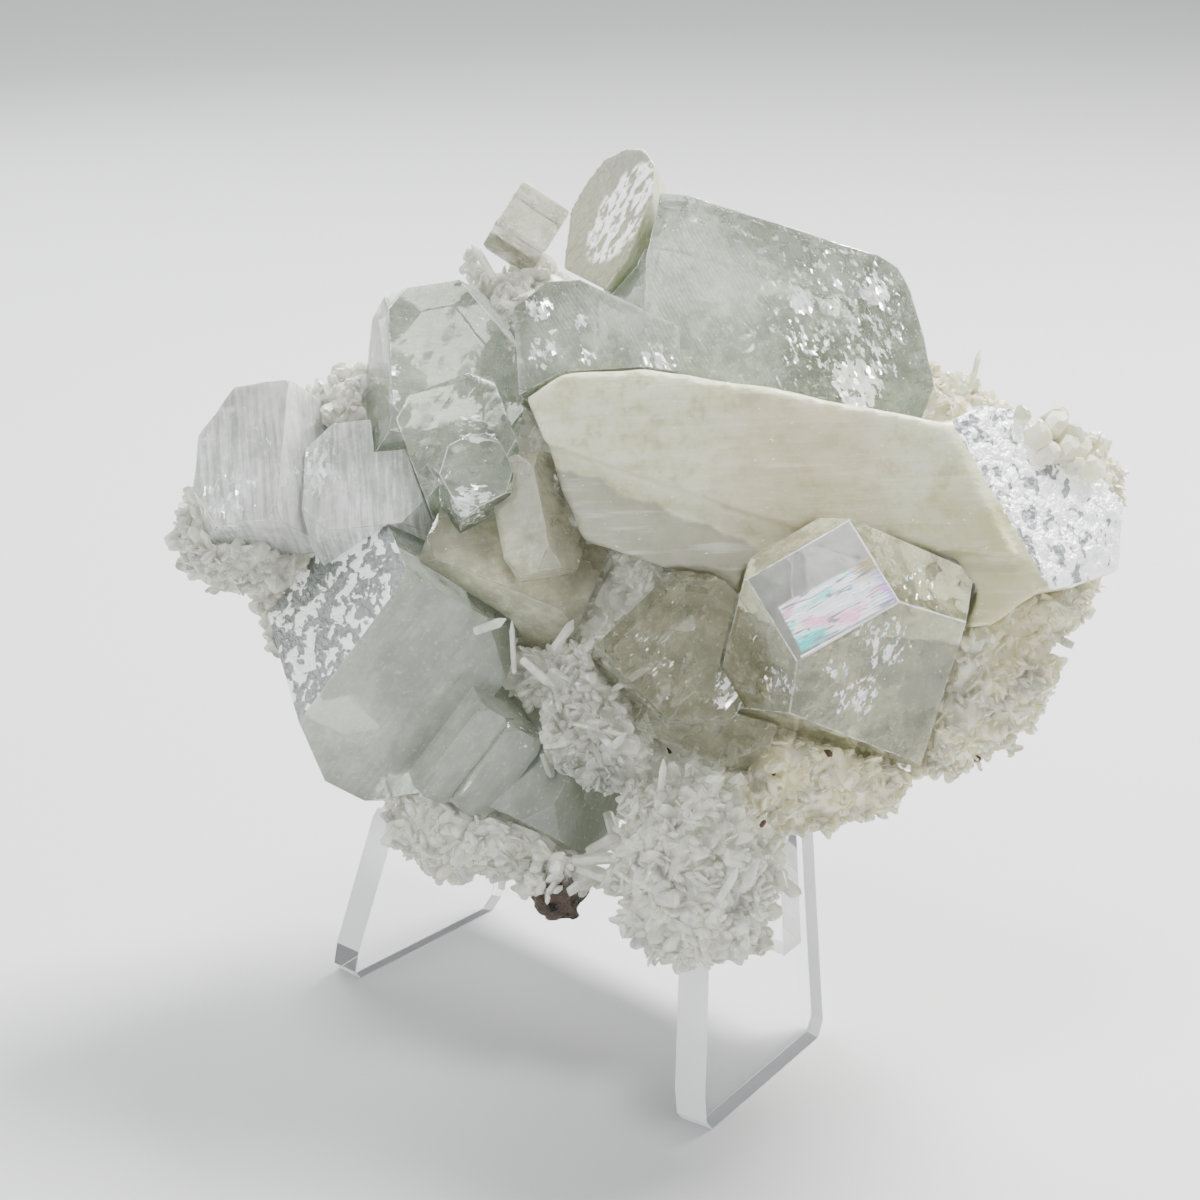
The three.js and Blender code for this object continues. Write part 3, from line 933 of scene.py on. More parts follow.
# The thickness of veils and flakes, and the length of their outline's parts.
FLAKE_THICKNESS = 0.03 * MM
FLAKE_PART = 0.22 * MM

# For each crystal: how many veils, how many bright cracks, and the direction they face.
VEILS = {
    "apophyllite_front_gem": (9, 60, (60, 40, 70)),
    "apophyllite_front_small": (9, 50, (-60, 60, 40)),
    "apophyllite_lower_left": (12, 34, LEFT_BASE),
    "apophyllite_upper_left": (14, 60, (30, 30, 90)),
    "apophyllite_far_left": (8, 40, (-40, 30, 80)),
    "apophyllite_centre": (8, 30, (-50, 0, 86)),
    "apophyllite_top_block": (22, 230, (30, 80, 50)),
}


def veil_surface():
    """A thin cloudy sheet inside a crystal, with holes."""
    recipe = Recipe("veil")
    at = recipe.place()
    cloud = recipe.noise(at, 700, 0.65)
    surface = recipe.shader(
        Base_Color=(0.92, 0.93, 0.88),
        Roughness=0.3,
        Alpha=cloud.rise(0.46, 0.68) * 0.5,
    )
    return recipe.finish(surface)


def flake_surface():
    """A bright crack inside a crystal that mirrors the light."""
    recipe = Recipe("flake")
    at = recipe.place()
    cloud = recipe.noise(at, 900)
    surface = recipe.shader(
        Base_Color=recipe.mix(cloud, (0.82, 0.86, 0.88), (0.99, 0.99, 0.97)),
        Roughness=0.12,
        Metallic=0.6,
        Alpha=cloud.rise(0.25, 0.6) * 0.85,
    )
    return recipe.finish(surface)


def strayed(way, spread, draw):
    """A direction that strays from a way at random."""
    return (way + Vector([draw.gauss(0, spread) for _ in range(3)])).normalized()


def add_flake(mesh, place, normal, size, draw):
    """Adds a small closed flake with an irregular outline."""
    side = normal.orthogonal().normalized()
    cross = normal.cross(side)
    turn = draw.uniform(0, math.tau)
    stretch = draw.uniform(0.18, 0.7)
    count = 6 + int(size / FLAKE_PART)
    ring = []
    for k in range(count):
        angle = turn + math.tau * k / count
        reach = size * draw.uniform(0.6, 1.0)
        along = math.cos(angle) * reach
        across = math.sin(angle) * reach * stretch
        bend = normal * (along * along / size * 0.3)
        ring.append(mesh.verts.new(place + side * along + cross * across + bend))
    bmesh.ops.solidify(mesh, geom=[mesh.faces.new(ring)], thickness=FLAKE_THICKNESS)


def inside_places(solid, count, margin, draw):
    """Places drawn at random deeper than a margin inside a solid."""
    low, high = solid.box
    places = []
    for _ in range(count * TRIES):
        place = Vector([draw.uniform(a, b) for a, b in zip(low, high)])
        if solid.depth(place) > margin:
            places.append(place)
        if len(places) == count:
            break
    return places


def add_inclusions():
    """Fills the clear crystals with veils and bright flakes."""
    draw = random.Random(11)
    veils = bmesh.new()
    flakes = bmesh.new()
    for node, (sheets, cracks, way) in VEILS.items():
        solid = Solid(node)
        lead = slab_direction(*way).normalized()
        for place in inside_places(solid, sheets, 1.5 * MM, draw):
            normal = strayed(lead, 0.25, draw)
            add_flake(veils, place, normal, min(2.4 * MM, solid.depth(place)), draw)
        for place in inside_places(solid, cracks, 0.8 * MM, draw):
            normal = strayed(lead, 0.45, draw)
            size = draw.uniform(0.3, 1.0) ** 1.5 * 1.5 * MM
            add_flake(flakes, place, normal, min(size, solid.depth(place)), draw)
    add_piece("veils", veils, [veil_surface()], "apophyllite_clear")
    add_piece("flakes", flakes, [flake_surface()], "apophyllite_clear")


# ---------------------------------------------------------------------------------------------
# Stilbite

# The directions of the sheaf's and the blade's laminae.
SHEAF_WAY = (1, 0.03, 0)
BLADE_WAY = (50, 85, 0)


def stilbite_surface(settings, lines):
    """Cream stilbite with fine laminae along its length."""
    recipe = Recipe("stilbite_cream")
    at = recipe.place()
    along = slab_direction(*lines).normalized()
    across = along.cross(OUTWARD).normalized()
    out = along.cross(across)
    grain = recipe.place((along * 90, across * 1500, out * 700))
    streak = recipe.noise(grain, 1.0, 0.6)
    cloud = recipe.noise(at, 95, 0.6)
    mottle = recipe.noise(at, 520, 0.68)
    # Below the ridge, the sheaf's left part is grey.
    ridge = slab_direction(0.387, 0.922, 0).normalized()
    below = (slab_point(-3.6, 11.8, 6).dot(ridge) - at.along(ridge)) / MM
    wobble = (recipe.noise(at, 300) - 0.5) * 2.4
    left = 1 - at.along(Vector((1, 0, 0))).rise(0.008, 0.021)
    grey = (below + wobble).rise(-0.2, 0.3) * left
    fleck = recipe.noise(recipe.place((along * 1300, across * 2200, out * 2200)), 1.0)
    tone = recipe.layered(
        settings.cream,
        (cloud.rise(0.35, 0.7), (0.70, 0.71, 0.50)),
        (mottle.rise(0.42, 0.62) * 0.7, (0.82, 0.82, 0.66)),
        ((0.46 - mottle).rise(0.0, 0.12) * 0.6, (0.48, 0.46, 0.27)),
        (recipe.zone((35.0, 0.0, 8.0), 15.0) * 0.75, (0.51, 0.49, 0.27)),
        (recipe.zone((17.0, 10.8, 6.0), 11.0) * 0.6, settings.peach),
        (grey * 0.9, recipe.mix(mottle, (0.30, 0.29, 0.22), (0.48, 0.47, 0.37))),
        (streak.rise(0.52, 0.70) * 0.36, (0.86, 0.87, 0.78)),
        ((0.46 - streak).rise(0.0, 0.14) * 0.24, (0.46, 0.46, 0.30)),
        # Small white flecks: painted glints.
        (fleck.rise(0.69, 0.73), (0.95, 0.95, 0.92)),
    )
    surface = recipe.shader(
        Base_Color=tone,
        Roughness=mottle * 0.3 + 0.24,
        Subsurface_Weight=0.18,
        Subsurface_Radius=(2.0 * MM, 1.9 * MM, 1.4 * MM),
        Subsurface_Scale=1.0,
        Coat_Weight=0.35,
        Coat_Roughness=0.18,
        Normal=recipe.bump(streak * 0.5 + mottle * 0.8 + fleck * 0.3, 0.18 * MM),
    )
    return recipe.finish(surface)


def painted_fleck_surface():
    """The blade's front: cream with a bright band of flecks along its length, glowing painted
    highlights.
    """
    recipe = Recipe("stilbite_painted_flecks")
    at = recipe.place()
    along = slab_direction(*BLADE_WAY).normalized()
    across = along.cross(OUTWARD).normalized()
    out = along.cross(across)
    grain = recipe.place((along * 700, across * 2300, out * 2300))
    fine = recipe.noise(grain, 1.0, 0.6)
    middle = slab_point(1.2, 33.4, 1.5)
    offset = at.along(across) - middle.dot(across)
    reach = at.along(along) - (middle.dot(along) + 1.5 * MM)
    band = 1 - ((offset * 420) ** 2 + (reach * 170) ** 2).rise(0.2, 1.0)
    flash = fine.rise(0.45, 0.52) * band.rise(0.05, 0.45)
    top = reach.rise(-0.002, 0.006)
    base = recipe.mix(top, (0.54, 0.54, 0.40), (0.46, 0.47, 0.40))
    surface = recipe.shader(
        Base_Color=recipe.mix(flash, base, (0.99, 0.99, 0.99)),
        Roughness=0.42 - flash * 0.2,
        # The flecks glow: painted highlights.
        Emission_Color=recipe.mix(flash, (0, 0, 0), (1, 1, 1)),
        Emission_Strength=0.8,
        Normal=recipe.bump(fine, 0.5 * MM),
    )
    return recipe.finish(surface)


def add_sheaf(settings, pearls):
    """The long sheaf with its pearly end."""
    cream = stilbite_surface(settings, SHEAF_WAY)
    pearl = pearl_highlight_surface("stilbite_pearl_highlight", pearls, 1.2 * MM, SHEAF_END, 0.90, (0.40, 0.43, 0.46))
    along = slab_direction(1, -0.06, 0).normalized()
    across = slab_direction(0, 1, -0.1).normalized()

    def laminae(place):
        lane = noise.noise(Vector((place.dot(along) * 45, place.dot(across) * 420, 3)))
        coarse = noise.noise(Vector((place.dot(along) * 70, place.dot(across) * 150, 9)))
        swell = noise.noise(place * 150) * 0.35 + noise.noise(place * 380) * 0.14
        return (lane * 0.16 + coarse * 0.26 + swell) * MM

    mesh = voxels("stilbite_sheaf", settings.voxel)
    settle(mesh, 9)
    displace(mesh, laminae)
    # The pearly end lies beyond an edge through this corner.
    corner = slab_point(29.4, 15.2, 0)
    edge_way = slab_direction(14.4, 8.6, 0).normalized()
    end_way = slab_direction(*SHEAF_END).normalized()
    for face in mesh.faces:
        beyond = (face.calc_center_median() - corner).dot(edge_way) > 0.35 * MM
        if beyond and face.normal.dot(end_way) > 0.3:
            face.material_index = 1
    for vert in mesh.verts:
        if all(face.material_index == 1 for face in vert.link_faces):
            place = vert.co * 900
            rough = noise.noise(place) * 0.28 + noise.noise(place * 2.3) * 0.14
            vert.co += vert.normal * rough * MM
    add_piece("stilbite_sheaf_piece", mesh, [cream, pearl], "stilbite", ["stilbite_sheaf"], True)


def add_blade(settings):
    """The round-headed blade at the top, with flecks on its front."""
    finish = [stilbite_surface(settings, BLADE_WAY), painted_fleck_surface()]
    mesh = voxels("stilbite_blade", settings.fine_voxel)
    settle(mesh, 2)
    face_way = slab_direction(-28, 12, 95).normalized()
    for face in mesh.faces:
        if face.normal.dot(face_way) > 0.9:
            face.material_index = 1
    add_piece("stilbite_blade_piece", mesh, finish, "stilbite", ["stilbite_blade"], True)


# ---------------------------------------------------------------------------------------------
# The quartz crust

# The nodes that the crust's small crystals stay clear of.
CLEAR_OF = [*LOOKS, "stilbite_sheaf", "stilbite_blade", "acrylic_easel"]

# Long thin blades that stand out among the small crystals: place, direction and length.
BLADES = [
    ((-1.6, -11.0, 6.5), (1.0, -0.2, 0.3), 4.2),
    ((-7.6, -5.6, 5.5), (-0.04, 1.0, 0.3), 4.0),
    ((-6.4, -5.6, 6.0), (0.75, -0.65, 0.3), 3.2),
    ((-10.6, -2.6, 5.4), (1.0, 0.35, 0.5), 2.8),
    ((5.2, -17.2, 8.5), (0.1, 1.0, 0.5), 4.0),
    ((10.4, -25.4, 11.0), (0.5, 0.85, 0.3), 3.0),
    ((1.6, -7.6, 6.5), (0.8, 0.5, 0.5), 3.4),
    ((-2.8, -7.0, 5.2), (0.9, -0.4, 0.4), 3.2),
    ((0.5, -13.5, 6.5), (0.7, 0.7, 0.5), 3.0),
    ((-3.8, -3.9, 4.2), (0.6, 0.8, 0.4), 2.8),
    ((33.6, 19.6, 0.5), (0.2, 1.0, 0.1), 3.0),
    ((-10.2, 30.4, -5.0), (-0.5, 0.8, 0.2), 3.0),
]

# Stout crystals that bridge the gap between the crust's two lower parts.
FILLERS = [
    ((3.4, -22.6, 0.5), (-1.0, 0.2, 0.3), 3.0),
    ((3.6, -21.4, 0.0), (-1.0, -0.1, 0.1), 2.8),
    ((-0.6, -23.4, 0.5), (1.0, 0.1, 0.2), 2.6),
    ((-0.4, -24.6, 0.0), (0.9, -0.3, 0.2), 2.4),
    ((3.4, -23.8, 0.0), (-1.0, -0.2, 0.2), 2.6),
    ((0.2, -22.2, 0.0), (0.8, 0.5, 0.3), 2.2),
    ((2.6, -25.0, -0.4), (-0.9, 0.4, 0.3), 2.2),
    ((1.2, -21.0, -0.4), (0.3, -1.0, 0.3), 2.6),
]

# Stout crystals on the sheaf's pearly end: u and v, half width and length.
LUMPS = [
    (37.6, 13.8, 1.3, 2.0),
    (39.2, 14.6, 1.5, 2.6),
    (40.8, 14.2, 1.4, 2.4),
    (38.6, 12.6, 1.2, 1.8),
    (40.2, 12.8, 1.5, 2.2),
    (41.8, 12.6, 1.3, 2.2),
    (42.6, 11.2, 1.2, 2.0),
    (41.2, 11.4, 1.1, 1.8),
    (39.6, 15.8, 1.0, 2.4),
    (36.4, 15.6, 0.8, 1.8),
    (43.2, 12.4, 1.0, 2.0),
]

# How far out of the slab's middle everything ends, in millimetres.
IN_FRONT = 30

# The shapes of small crystals, as rings: height, width and lean, as shares of the whole.
BLUNT = ((-0.7, 0.85, 0.0), (0.62, 1.0, 0.05), (0.85, 0.5, 0.2))
SHARP = ((-0.2, 0.85, 0.0), (0.74, 1.0, 0.0), (1.0, 0.18, 0.3))
GRAIN_SIDES = 6
BLUNT_FACES = GRAIN_SIDES * (len(BLUNT) - 1) + 2

# Rust-brown specks on the crust: u and v, and the half width.
SPECKS = [
    (19.9, -13.5, 0.42),
    (14.3, -13.0, 0.24),
    (14.3, -19.4, 0.34),
    (15.4, -15.3, 0.18),
    (17.0, -17.6, 0.16),
    (8.2, -26.8, 0.22),
    (11.2, -24.0, 0.20),
    (5.9, -13.3, 0.26),
    (-0.5, -17.0, 0.20),
    (33.4, -13.7, 0.36),
    (36.2, 3.2, 0.20),
    (12.6, -21.9, 0.14),
    (24.6, -12.2, 0.18),
]


def quartz_surface(name, settings, clear, shade):
    """Quartz, whitish in front and yellower at the right and under the gem.

    It is see-through by the share `clear` and darkened by the share `shade`.
    """
    recipe = Recipe(name)
    at = recipe.place()
    right = at.along(slab_direction(1, 0, 0)) - slab_point(18, 0, 0).x
    share = (right * 60).rise(-0.35, 0.55) * 0.7 + recipe.noise(at, 120, detail=2.0) * 0.2
    share = share.most(recipe.zone((20.0, -14.0, 7.0), 12.0))
    tone = recipe.layered(
        settings.white,
        (share, settings.yellow),
        (recipe.zone((-1.6, -16.5, 3.0), 6.0) * 0.8, (0.40, 0.41, 0.36)),
        (recipe.zone((-2.6, -9.4, 5.0), 7.0) * 0.7, (0.52, 0.53, 0.45)),
        (recipe.noise(at, 430, detail=2.0).rise(0.48, 0.60) * 0.5, (0.46, 0.47, 0.42)),
        (shade, (0.22, 0.21, 0.16)),
    )
    speck = recipe.noise(at, 900)
    surface = recipe.shader(
        Base_Color=recipe.mix(speck.rise(0.42, 0.7) * (0.6 - shade), tone, (0.97, 0.97, 0.94)),
        Roughness=speck * 0.3 + 0.04,
        # A faint glow in its own tone: painted light that brightens the crust.
        Emission_Color=tone,
        Emission_Strength=0.09,
        IOR=1.45,
        Transmission_Weight=clear,
        Subsurface_Weight=clear * 0.5,
        Subsurface_Radius=(2.6 * MM, 2.5 * MM, 2.0 * MM),
        Subsurface_Scale=1.0,
        Normal=recipe.bump(recipe.noise(at, 1500), 0.10 * MM),
    )
    return recipe.finish(surface)


class Grains:
    """Small crystals gathered as corners and faces."""

    def __init__(self):
        self.corners = []
        self.faces = []

    def add(self, root, grow, length, radius, flat, turn, rings):
        """Adds a crystal: rings of corners along its length, closed at both ends."""
        side = grow.orthogonal().normalized()
        spun = side * math.cos(turn) + grow.cross(side) * math.sin(turn)
        cross = grow.cross(spun)
        start = len(self.corners)
        for height, scale, lean in rings:
            middle = root + grow * (height * length) + spun * (lean * radius)
            for k in range(GRAIN_SIDES):
                angle = math.tau * k / GRAIN_SIDES
                along = spun * (math.cos(angle) * radius * scale)
                across = cross * (math.sin(angle) * radius * scale * flat)
                self.corners.append(middle + along + across)
        last = start + GRAIN_SIDES * (len(rings) - 1)
        self.faces.append([start + k for k in reversed(range(GRAIN_SIDES))])
        self.faces.append([last + k for k in range(GRAIN_SIDES)])
        for low in range(start, last, GRAIN_SIDES):
            high = low + GRAIN_SIDES
            for k in range(GRAIN_SIDES):
                after = (k + 1) % GRAIN_SIDES
                self.faces.append([low + k, low + after, high + after, high + k])

    def stand_on(self, node, spots, lift, spread, draw):
        """Adds stout crystals on a node's front: u and v, half width and length."""
        body = Solid(node).tree
        for u, v, half, length in spots:
            spot, normal = body.ray_cast(slab_point(u, v, IN_FRONT), INWARD)[:2]
            if spot is not None:
                grow = strayed(normal, spread, draw)
                turn = draw.uniform(0, 3)
                root = spot + normal * lift
                self.add(root, grow, length * MM, half * MM, 0.7, turn, BLUNT)

    def mesh(self, first=0, end=None):
        """A mesh of the faces from the first up to the end."""
        data = bpy.data.meshes.new("loose")
        data.from_pydata(self.corners, [], self.faces[first:end])
        mesh = bmesh.new()
        mesh.from_mesh(data)
        bpy.data.meshes.remove(data)
        loose = [vert for vert in mesh.verts if not vert.link_faces]
        bmesh.ops.delete(mesh, geom=loose, context="VERTS")
        mesh.normal_update()
        return mesh


def scattered(mesh, count, draw):
    """Places spread over a mesh by area: (place, normal)."""
    faces = list(mesh.faces)
    areas = []
    total = 0.0
    for face in faces:
        total += face.calc_area()
        areas.append(total)
    index = 0
    shots = sorted(draw.uniform(0, total) for _ in range(count))
    for shot in shots:
        while areas[index] < shot:
            index += 1
        face = faces[index]
        verts = face.verts
        weights = [draw.random() for _ in verts]
        whole = sum(weights)
        place = sum((v.co * (w / whole) for v, w in zip(verts, weights)), Vector())
        yield place, face.normal.copy()


def on_basalt(draw):
    """Places on the basalt's front that carry small crystals too, all but its lowest tip."""
    rock = node_mesh("basalt_matrix")
    bmesh.ops.triangulate(rock, faces=rock.faces)
    rock.normal_update()
    bare = slab_point(0, -26.5, 0).dot(UPWARD)
    for place, normal in scattered(rock, 7000, draw):
        wavy = noise.noise(place * 300) * 1.5 * MM
        if normal.dot(OUTWARD) > -0.1 and place.dot(UPWARD) + wavy > bare:
            yield place, normal
    rock.free()


def grown(spots, settings, draw):
    """Small crystals grown on places, where they stay clear of the other bodies."""
    grains = Grains()
    solids = [Solid(node) for node in CLEAR_OF]
    right_from = slab_point(17, 0, 0).x
    for place, normal in spots:
        # The back carries fewer crystals, and the right part finer ones.
        if normal.dot(OUTWARD) < -0.25 and draw.random() < 0.6:
            continue
        finer = 0.8 if place.x > right_from else 1.0
        size = draw.uniform(0.55, 1.2) * finer
        length = settings.length * size * draw.choice((0.55, 0.7, 0.85, 1.0, 1.3))
        grow = strayed(normal, 0.8, draw)
        # One that lies too flat would hide in the crust.
        if grow.dot(normal) < 0.15:
            continue
        tip = place + grow * length
        middle = place + grow * length * 0.45
        if any(solid.touches(tip, 0.1 * MM) or solid.holds(middle) for solid in solids):
            continue
        radius = settings.radius * size * draw.uniform(0.7, 1.5)
        flat = draw.uniform(0.25, 0.55)
        grains.add(place, grow, length, radius, flat, draw.uniform(0, 6.3), BLUNT)
    return grains


def add_druse(settings):
    """The crust under the crystals, and the many small crystals on it."""
    draw = random.Random(5)
    crust = voxels("quartz_druse", settings.voxel)
    settle(crust, 5)

    def lumps(place):
        fine = noise.noise(place * 620)
        coarse = noise.noise(place * 240 + Vector((7, 3, 1)))
        return settings.relief * (fine * 0.7 + coarse * 0.5 - 0.30)

    displace(crust, lumps)
    spots = list(scattered(crust, settings.count, draw)) + list(on_basalt(draw))
    grains = grown(spots, settings, draw)
    # The crust under the small crystals is darkened: painted shade in the gaps between them.
    base = quartz_surface("quartz_base", settings, clear=0.0, shade=0.22)
    quartz = quartz_surface("quartz_grains", settings, clear=0.35, shade=0.0)
    add_piece("druse_crust", crust, [base], "quartz_druse", ["quartz_druse"], True)
    third = len(grains.faces) // BLUNT_FACES // 3 * BLUNT_FACES
    parts = {"low": (0, third), "middle": (third, 2 * third), "high": (2 * third, None)}
    for name, (first, end) in parts.items():
        add_piece(f"druse_crystals_{name}", grains.mesh(first, end), [quartz], "quartz_druse")
    add_blades(quartz, draw)
    add_specks(draw)


def add_blades(quartz, draw):
    """The blades and stout crystals that stand out among the small ones."""
    blades = Grains()
    for group, half, flat, rings in ((BLADES, 0.42, 0.55, SHARP), (FILLERS, 0.85, 0.6, BLUNT)):
        for place, way, length in group:
            grow = slab_direction(*way).normalized()
            turn = draw.uniform(0, 3)
            blades.add(slab_point(*place), grow, length * MM, half * MM, flat, turn, rings)
    blades.stand_on("stilbite_sheaf", LUMPS, 0, 0.35, draw)
    add_piece("druse_blades", blades.mesh(), [quartz], "quartz_druse")


def add_specks(draw):
    """Rust-brown specks that sit on the crust's front."""
    specks = Grains()
    spots = [(u, v, half, 1.3 * half) for u, v, half in SPECKS]
    specks.stand_on("quartz_druse", spots, 0.35 * MM, 0.3, draw)
    recipe = Recipe("rust")
    at = recipe.place()
    tone = recipe.mix(recipe.noise(at, 2500), (0.02, 0.010, 0.006), (0.12, 0.065, 0.03))
    rust = recipe.finish(recipe.shader(Base_Color=tone, Roughness=0.6))
    add_piece("rust_specks", specks.mesh(), [rust], "basalt")


# ---------------------------------------------------------------------------------------------
# Basalt and easel


def basalt_surface(settings):
    """Dark brown basalt with pale grains and small holes, whitish where the crust coats it."""
    recipe = Recipe("basalt")
    at = recipe.place()
    grain = recipe.noise(at, 1500, 0.7)
    patch = recipe.noise(at, 180)
    # Small holes: a dent in the bump, with painted shade in them.
    pits = recipe.noise(at, 780, 0.5, detail=2.0).rise(0.60, 0.66)
    out = recipe.node("ShaderNodeNewGeometry", {}, {}, "Normal").along(OUTWARD)
    bare = slab_point(0, -25, -4).dot(UPWARD)
    above = ((at.along(UPWARD) - bare) * 400).rise(-0.5, 0.5)
    coated = (out + (patch - 0.5) * 0.6).rise(-0.25, 0.1) * above
    tone = recipe.layered(
        settings.brown,
        (patch.rise(0.35, 0.7), (0.11, 0.08, 0.06)),
        (grain.rise(0.60, 0.72) * 0.45, (0.32, 0.27, 0.22)),
        (pits, (0.008, 0.006, 0.005)),
        (coated, (0.80, 0.81, 0.76)),
    )
    surface = recipe.shader(
        Base_Color=tone,
        Roughness=grain * 0.25 + 0.62,
        Normal=recipe.bump(grain * 0.9 + recipe.noise(at, 420) - pits * 0.8, 0.8 * MM),
    )
    return recipe.finish(surface)


def add_basalt(settings):
    """The broken rock under and behind the crust."""
    rock = voxels("basalt_matrix", settings.voxel)
    settle(rock, 3)

    def broken(place):
        ridge = 1 - abs(noise.noise(place * 170)) * 2
        fine = noise.noise(place * 700)
        rough = noise.noise(place * 1600)
        ledge = abs(noise.noise(place * 420 + Vector((3, 8, 5))))
        return settings.relief * (ridge * 0.5 + fine * 0.40 + rough * 0.22 - ledge * 0.6 - 0.62)

    displace(rock, broken)
    add_piece("basalt_rock", rock, [basalt_surface(settings)], "basalt", ["basalt_matrix"], True)


def acrylic_surface(settings):
    """Clear polished acrylic with a few rubs."""
    recipe = Recipe("acrylic_clear")
    at = recipe.place()
    rub = recipe.noise(at, 260, 0.7)
    surface = recipe.shader(
        Base_Color=(0.985, 0.992, 0.99),
        Roughness=rub.rise(0.55, 0.85) * 0.10 + 0.015,
        IOR=settings.ior,
        Transmission_Weight=1.0,
        Normal=recipe.bump(recipe.noise(at, 90, detail=2.0), 0.03 * MM),
    )
    return recipe.finish(surface)


def sawn_surface(settings):
    """The frosted sawn edges of the sheet, with fine tool marks across them."""
    recipe = Recipe("acrylic_sawn")
    at = recipe.place()
    marks = recipe.place((Vector((700, 0, 0)), Vector((0, 700, 0)), Vector((0, 0, 90))))
    saw = recipe.noise(marks, 1.0)
    surface = recipe.shader(
        Base_Color=recipe.mix(saw, (0.86, 0.88, 0.87), (0.99, 0.99, 0.99)),
        Roughness=saw * 0.2 + 0.28,
        IOR=settings.ior,
        Transmission_Weight=0.18,
        # A faint glow: painted light that keeps the edges bright where little light reaches them.
        Emission_Color=(0.93, 0.96, 0.97, 1),
        Emission_Strength=0.22,
        Normal=recipe.bump(saw * 0.6 + recipe.noise(at, 1800, detail=2.0) * 0.4, 0.10 * MM),
    )
    return recipe.finish(surface)


def add_easel(settings):
    """The easel: a clear sheet with frosted edges."""
    mesh = welded("acrylic_easel", settings.weld)
    # The sheet's broad faces look the three ways that its largest faces look.
    broad = []
    for face in sorted(mesh.faces, key=lambda f: -f.calc_area()):
        if len(broad) < 3 and all(abs(face.normal.dot(way)) < 0.97 for way in broad):
            broad.append(face.normal.copy())
    for face in mesh.faces:
        polished = any(abs(face.normal.dot(way)) > 0.995 for way in broad)
        face.material_index = 0 if polished else 1
    rimmed(mesh, settings.rim, sharper=25)
    materials = [acrylic_surface(settings), sawn_surface(settings)]
    add_piece("easel_sheet", mesh, materials, "acrylic", ["acrylic_easel"])


# ---------------------------------------------------------------------------------------------
# Stage


def add_light(name, place, target, size, power, colour):
    """A square soft light aimed at a place."""
    data = bpy.data.lights.new(name, "AREA")
    data.energy = power
    data.size = size
    data.color = colour
    light = bpy.data.objects.new(name, data)
    light.location = place
    light.rotation_euler = (target - place).to_track_quat("-Z", "Y").to_euler()
    bpy.context.scene.collection.objects.link(light)


def add_floor(settings):
    """A plain pale floor, wide enough to fill the view."""
    recipe = Recipe("floor")
    at = recipe.place()
    tint = recipe.mix(recipe.noise(at, 900, detail=2.0) * 0.06, settings.floor, (0.5, 0.5, 0.5))
    material = recipe.finish(recipe.shader(Base_Color=tint, Roughness=0.8))
    mesh = bmesh.new()
    rim = [(-6, -6), (6, -6), (6, 6), (-6, 6)]
    mesh.faces.new([mesh.verts.new((x, y, 0)) for x, y in rim])
    data = bpy.data.meshes.new("floor")
    mesh.to_mesh(data)
    mesh.free()
    data.materials.append(material)
    floor = bpy.data.objects.new("floor", data)
    bpy.context.scene.collection.objects.link(floor)


def add_stage(settings):
    """The floor, the sky, the lights and the camera."""
    add_floor(settings)
    world = bpy.data.worlds.new("studio")
    world.use_nodes = True
    sky = world.node_tree.nodes["Background"]
    sky.inputs["Color"].default_value = (1.0, 0.995, 0.98, 1)
    sky.inputs["Strength"].default_value = settings.sky
    bpy.context.scene.world = world
    target = SLAB_MIDDLE
    for name, place, size, power, colour in (
        ("key", (0.26, 0.20, 0.50), 0.26, settings.key, (1, 0.99, 0.96)),
        ("fill", (-0.55, -0.45, 0.35), 0.5, settings.fill, (0.98, 0.99, 1)),
        ("back", (-0.25, 0.45, 0.30), 0.3, settings.fill, (1, 1, 1)),
        ("top", (-0.05, -0.12, 0.60), 0.16, settings.fill, (1, 1, 1)),
        ("low", (0.42, -0.40, 0.10), 0.10, settings.fill * 0.25, (1, 1, 1)),
        ("panel", (0.0, 1.75, 1.5), 2.2, settings.fill * 14, (1, 1, 1)),
    ):
        add_light(name, target + Vector(place), target, size, power, colour)

    data = bpy.data.cameras.new("camera")
    data.lens = settings.lens
    data.sensor_width = 36
    data.clip_start = 0.01
    camera = bpy.data.objects.new("camera", data)
    camera.location = slab_point(0, 0, VIEWER)
    camera.rotation_euler = (math.pi / 2 - settings.pitch, 0, 0)
    bpy.context.scene.collection.objects.link(camera)
    bpy.context.scene.camera = camera


# ---------------------------------------------------------------------------------------------
# Operators and panel


class CLUSTER_OT_crystals(bpy.types.Operator):
    """Adds the clear apophyllite crystals"""

    bl_idname = "cluster.crystals"
    bl_label = "Add Crystals"

    def execute(self, context):
        settings = context.scene.cluster_crystals
        dull = (0.34, 0.37, 0.36)
        rim = rim_wear_and_highlight_surface(settings)
        pearl = pearl_highlight_surface("apophyllite_pearl_highlight", settings, 1.0 * MM, LEFT_BASE, 0.60, dull)
        window = painted_window_surface(settings)
        for node, look in LOOKS.items():
            base = window if node == "apophyllite_front_gem" else pearl
            add_crystal(node, look, settings, rim, base)
        return {"FINISHED"}


class CLUSTER_OT_inclusions(bpy.types.Operator):
    """Adds the veils and bright flakes inside the crystals"""

    bl_idname = "cluster.inclusions"
    bl_label = "Add Inclusions"

    def execute(self, context):
        add_inclusions()
        return {"FINISHED"}


class CLUSTER_OT_stilbite(bpy.types.Operator):
    """Adds the stilbite sheaf and blade"""

    bl_idname = "cluster.stilbite"
    bl_label = "Add Stilbite"

    def execute(self, context):
        scene = context.scene
        add_sheaf(scene.cluster_stilbite, scene.cluster_crystals)
        add_blade(scene.cluster_stilbite)
        return {"FINISHED"}


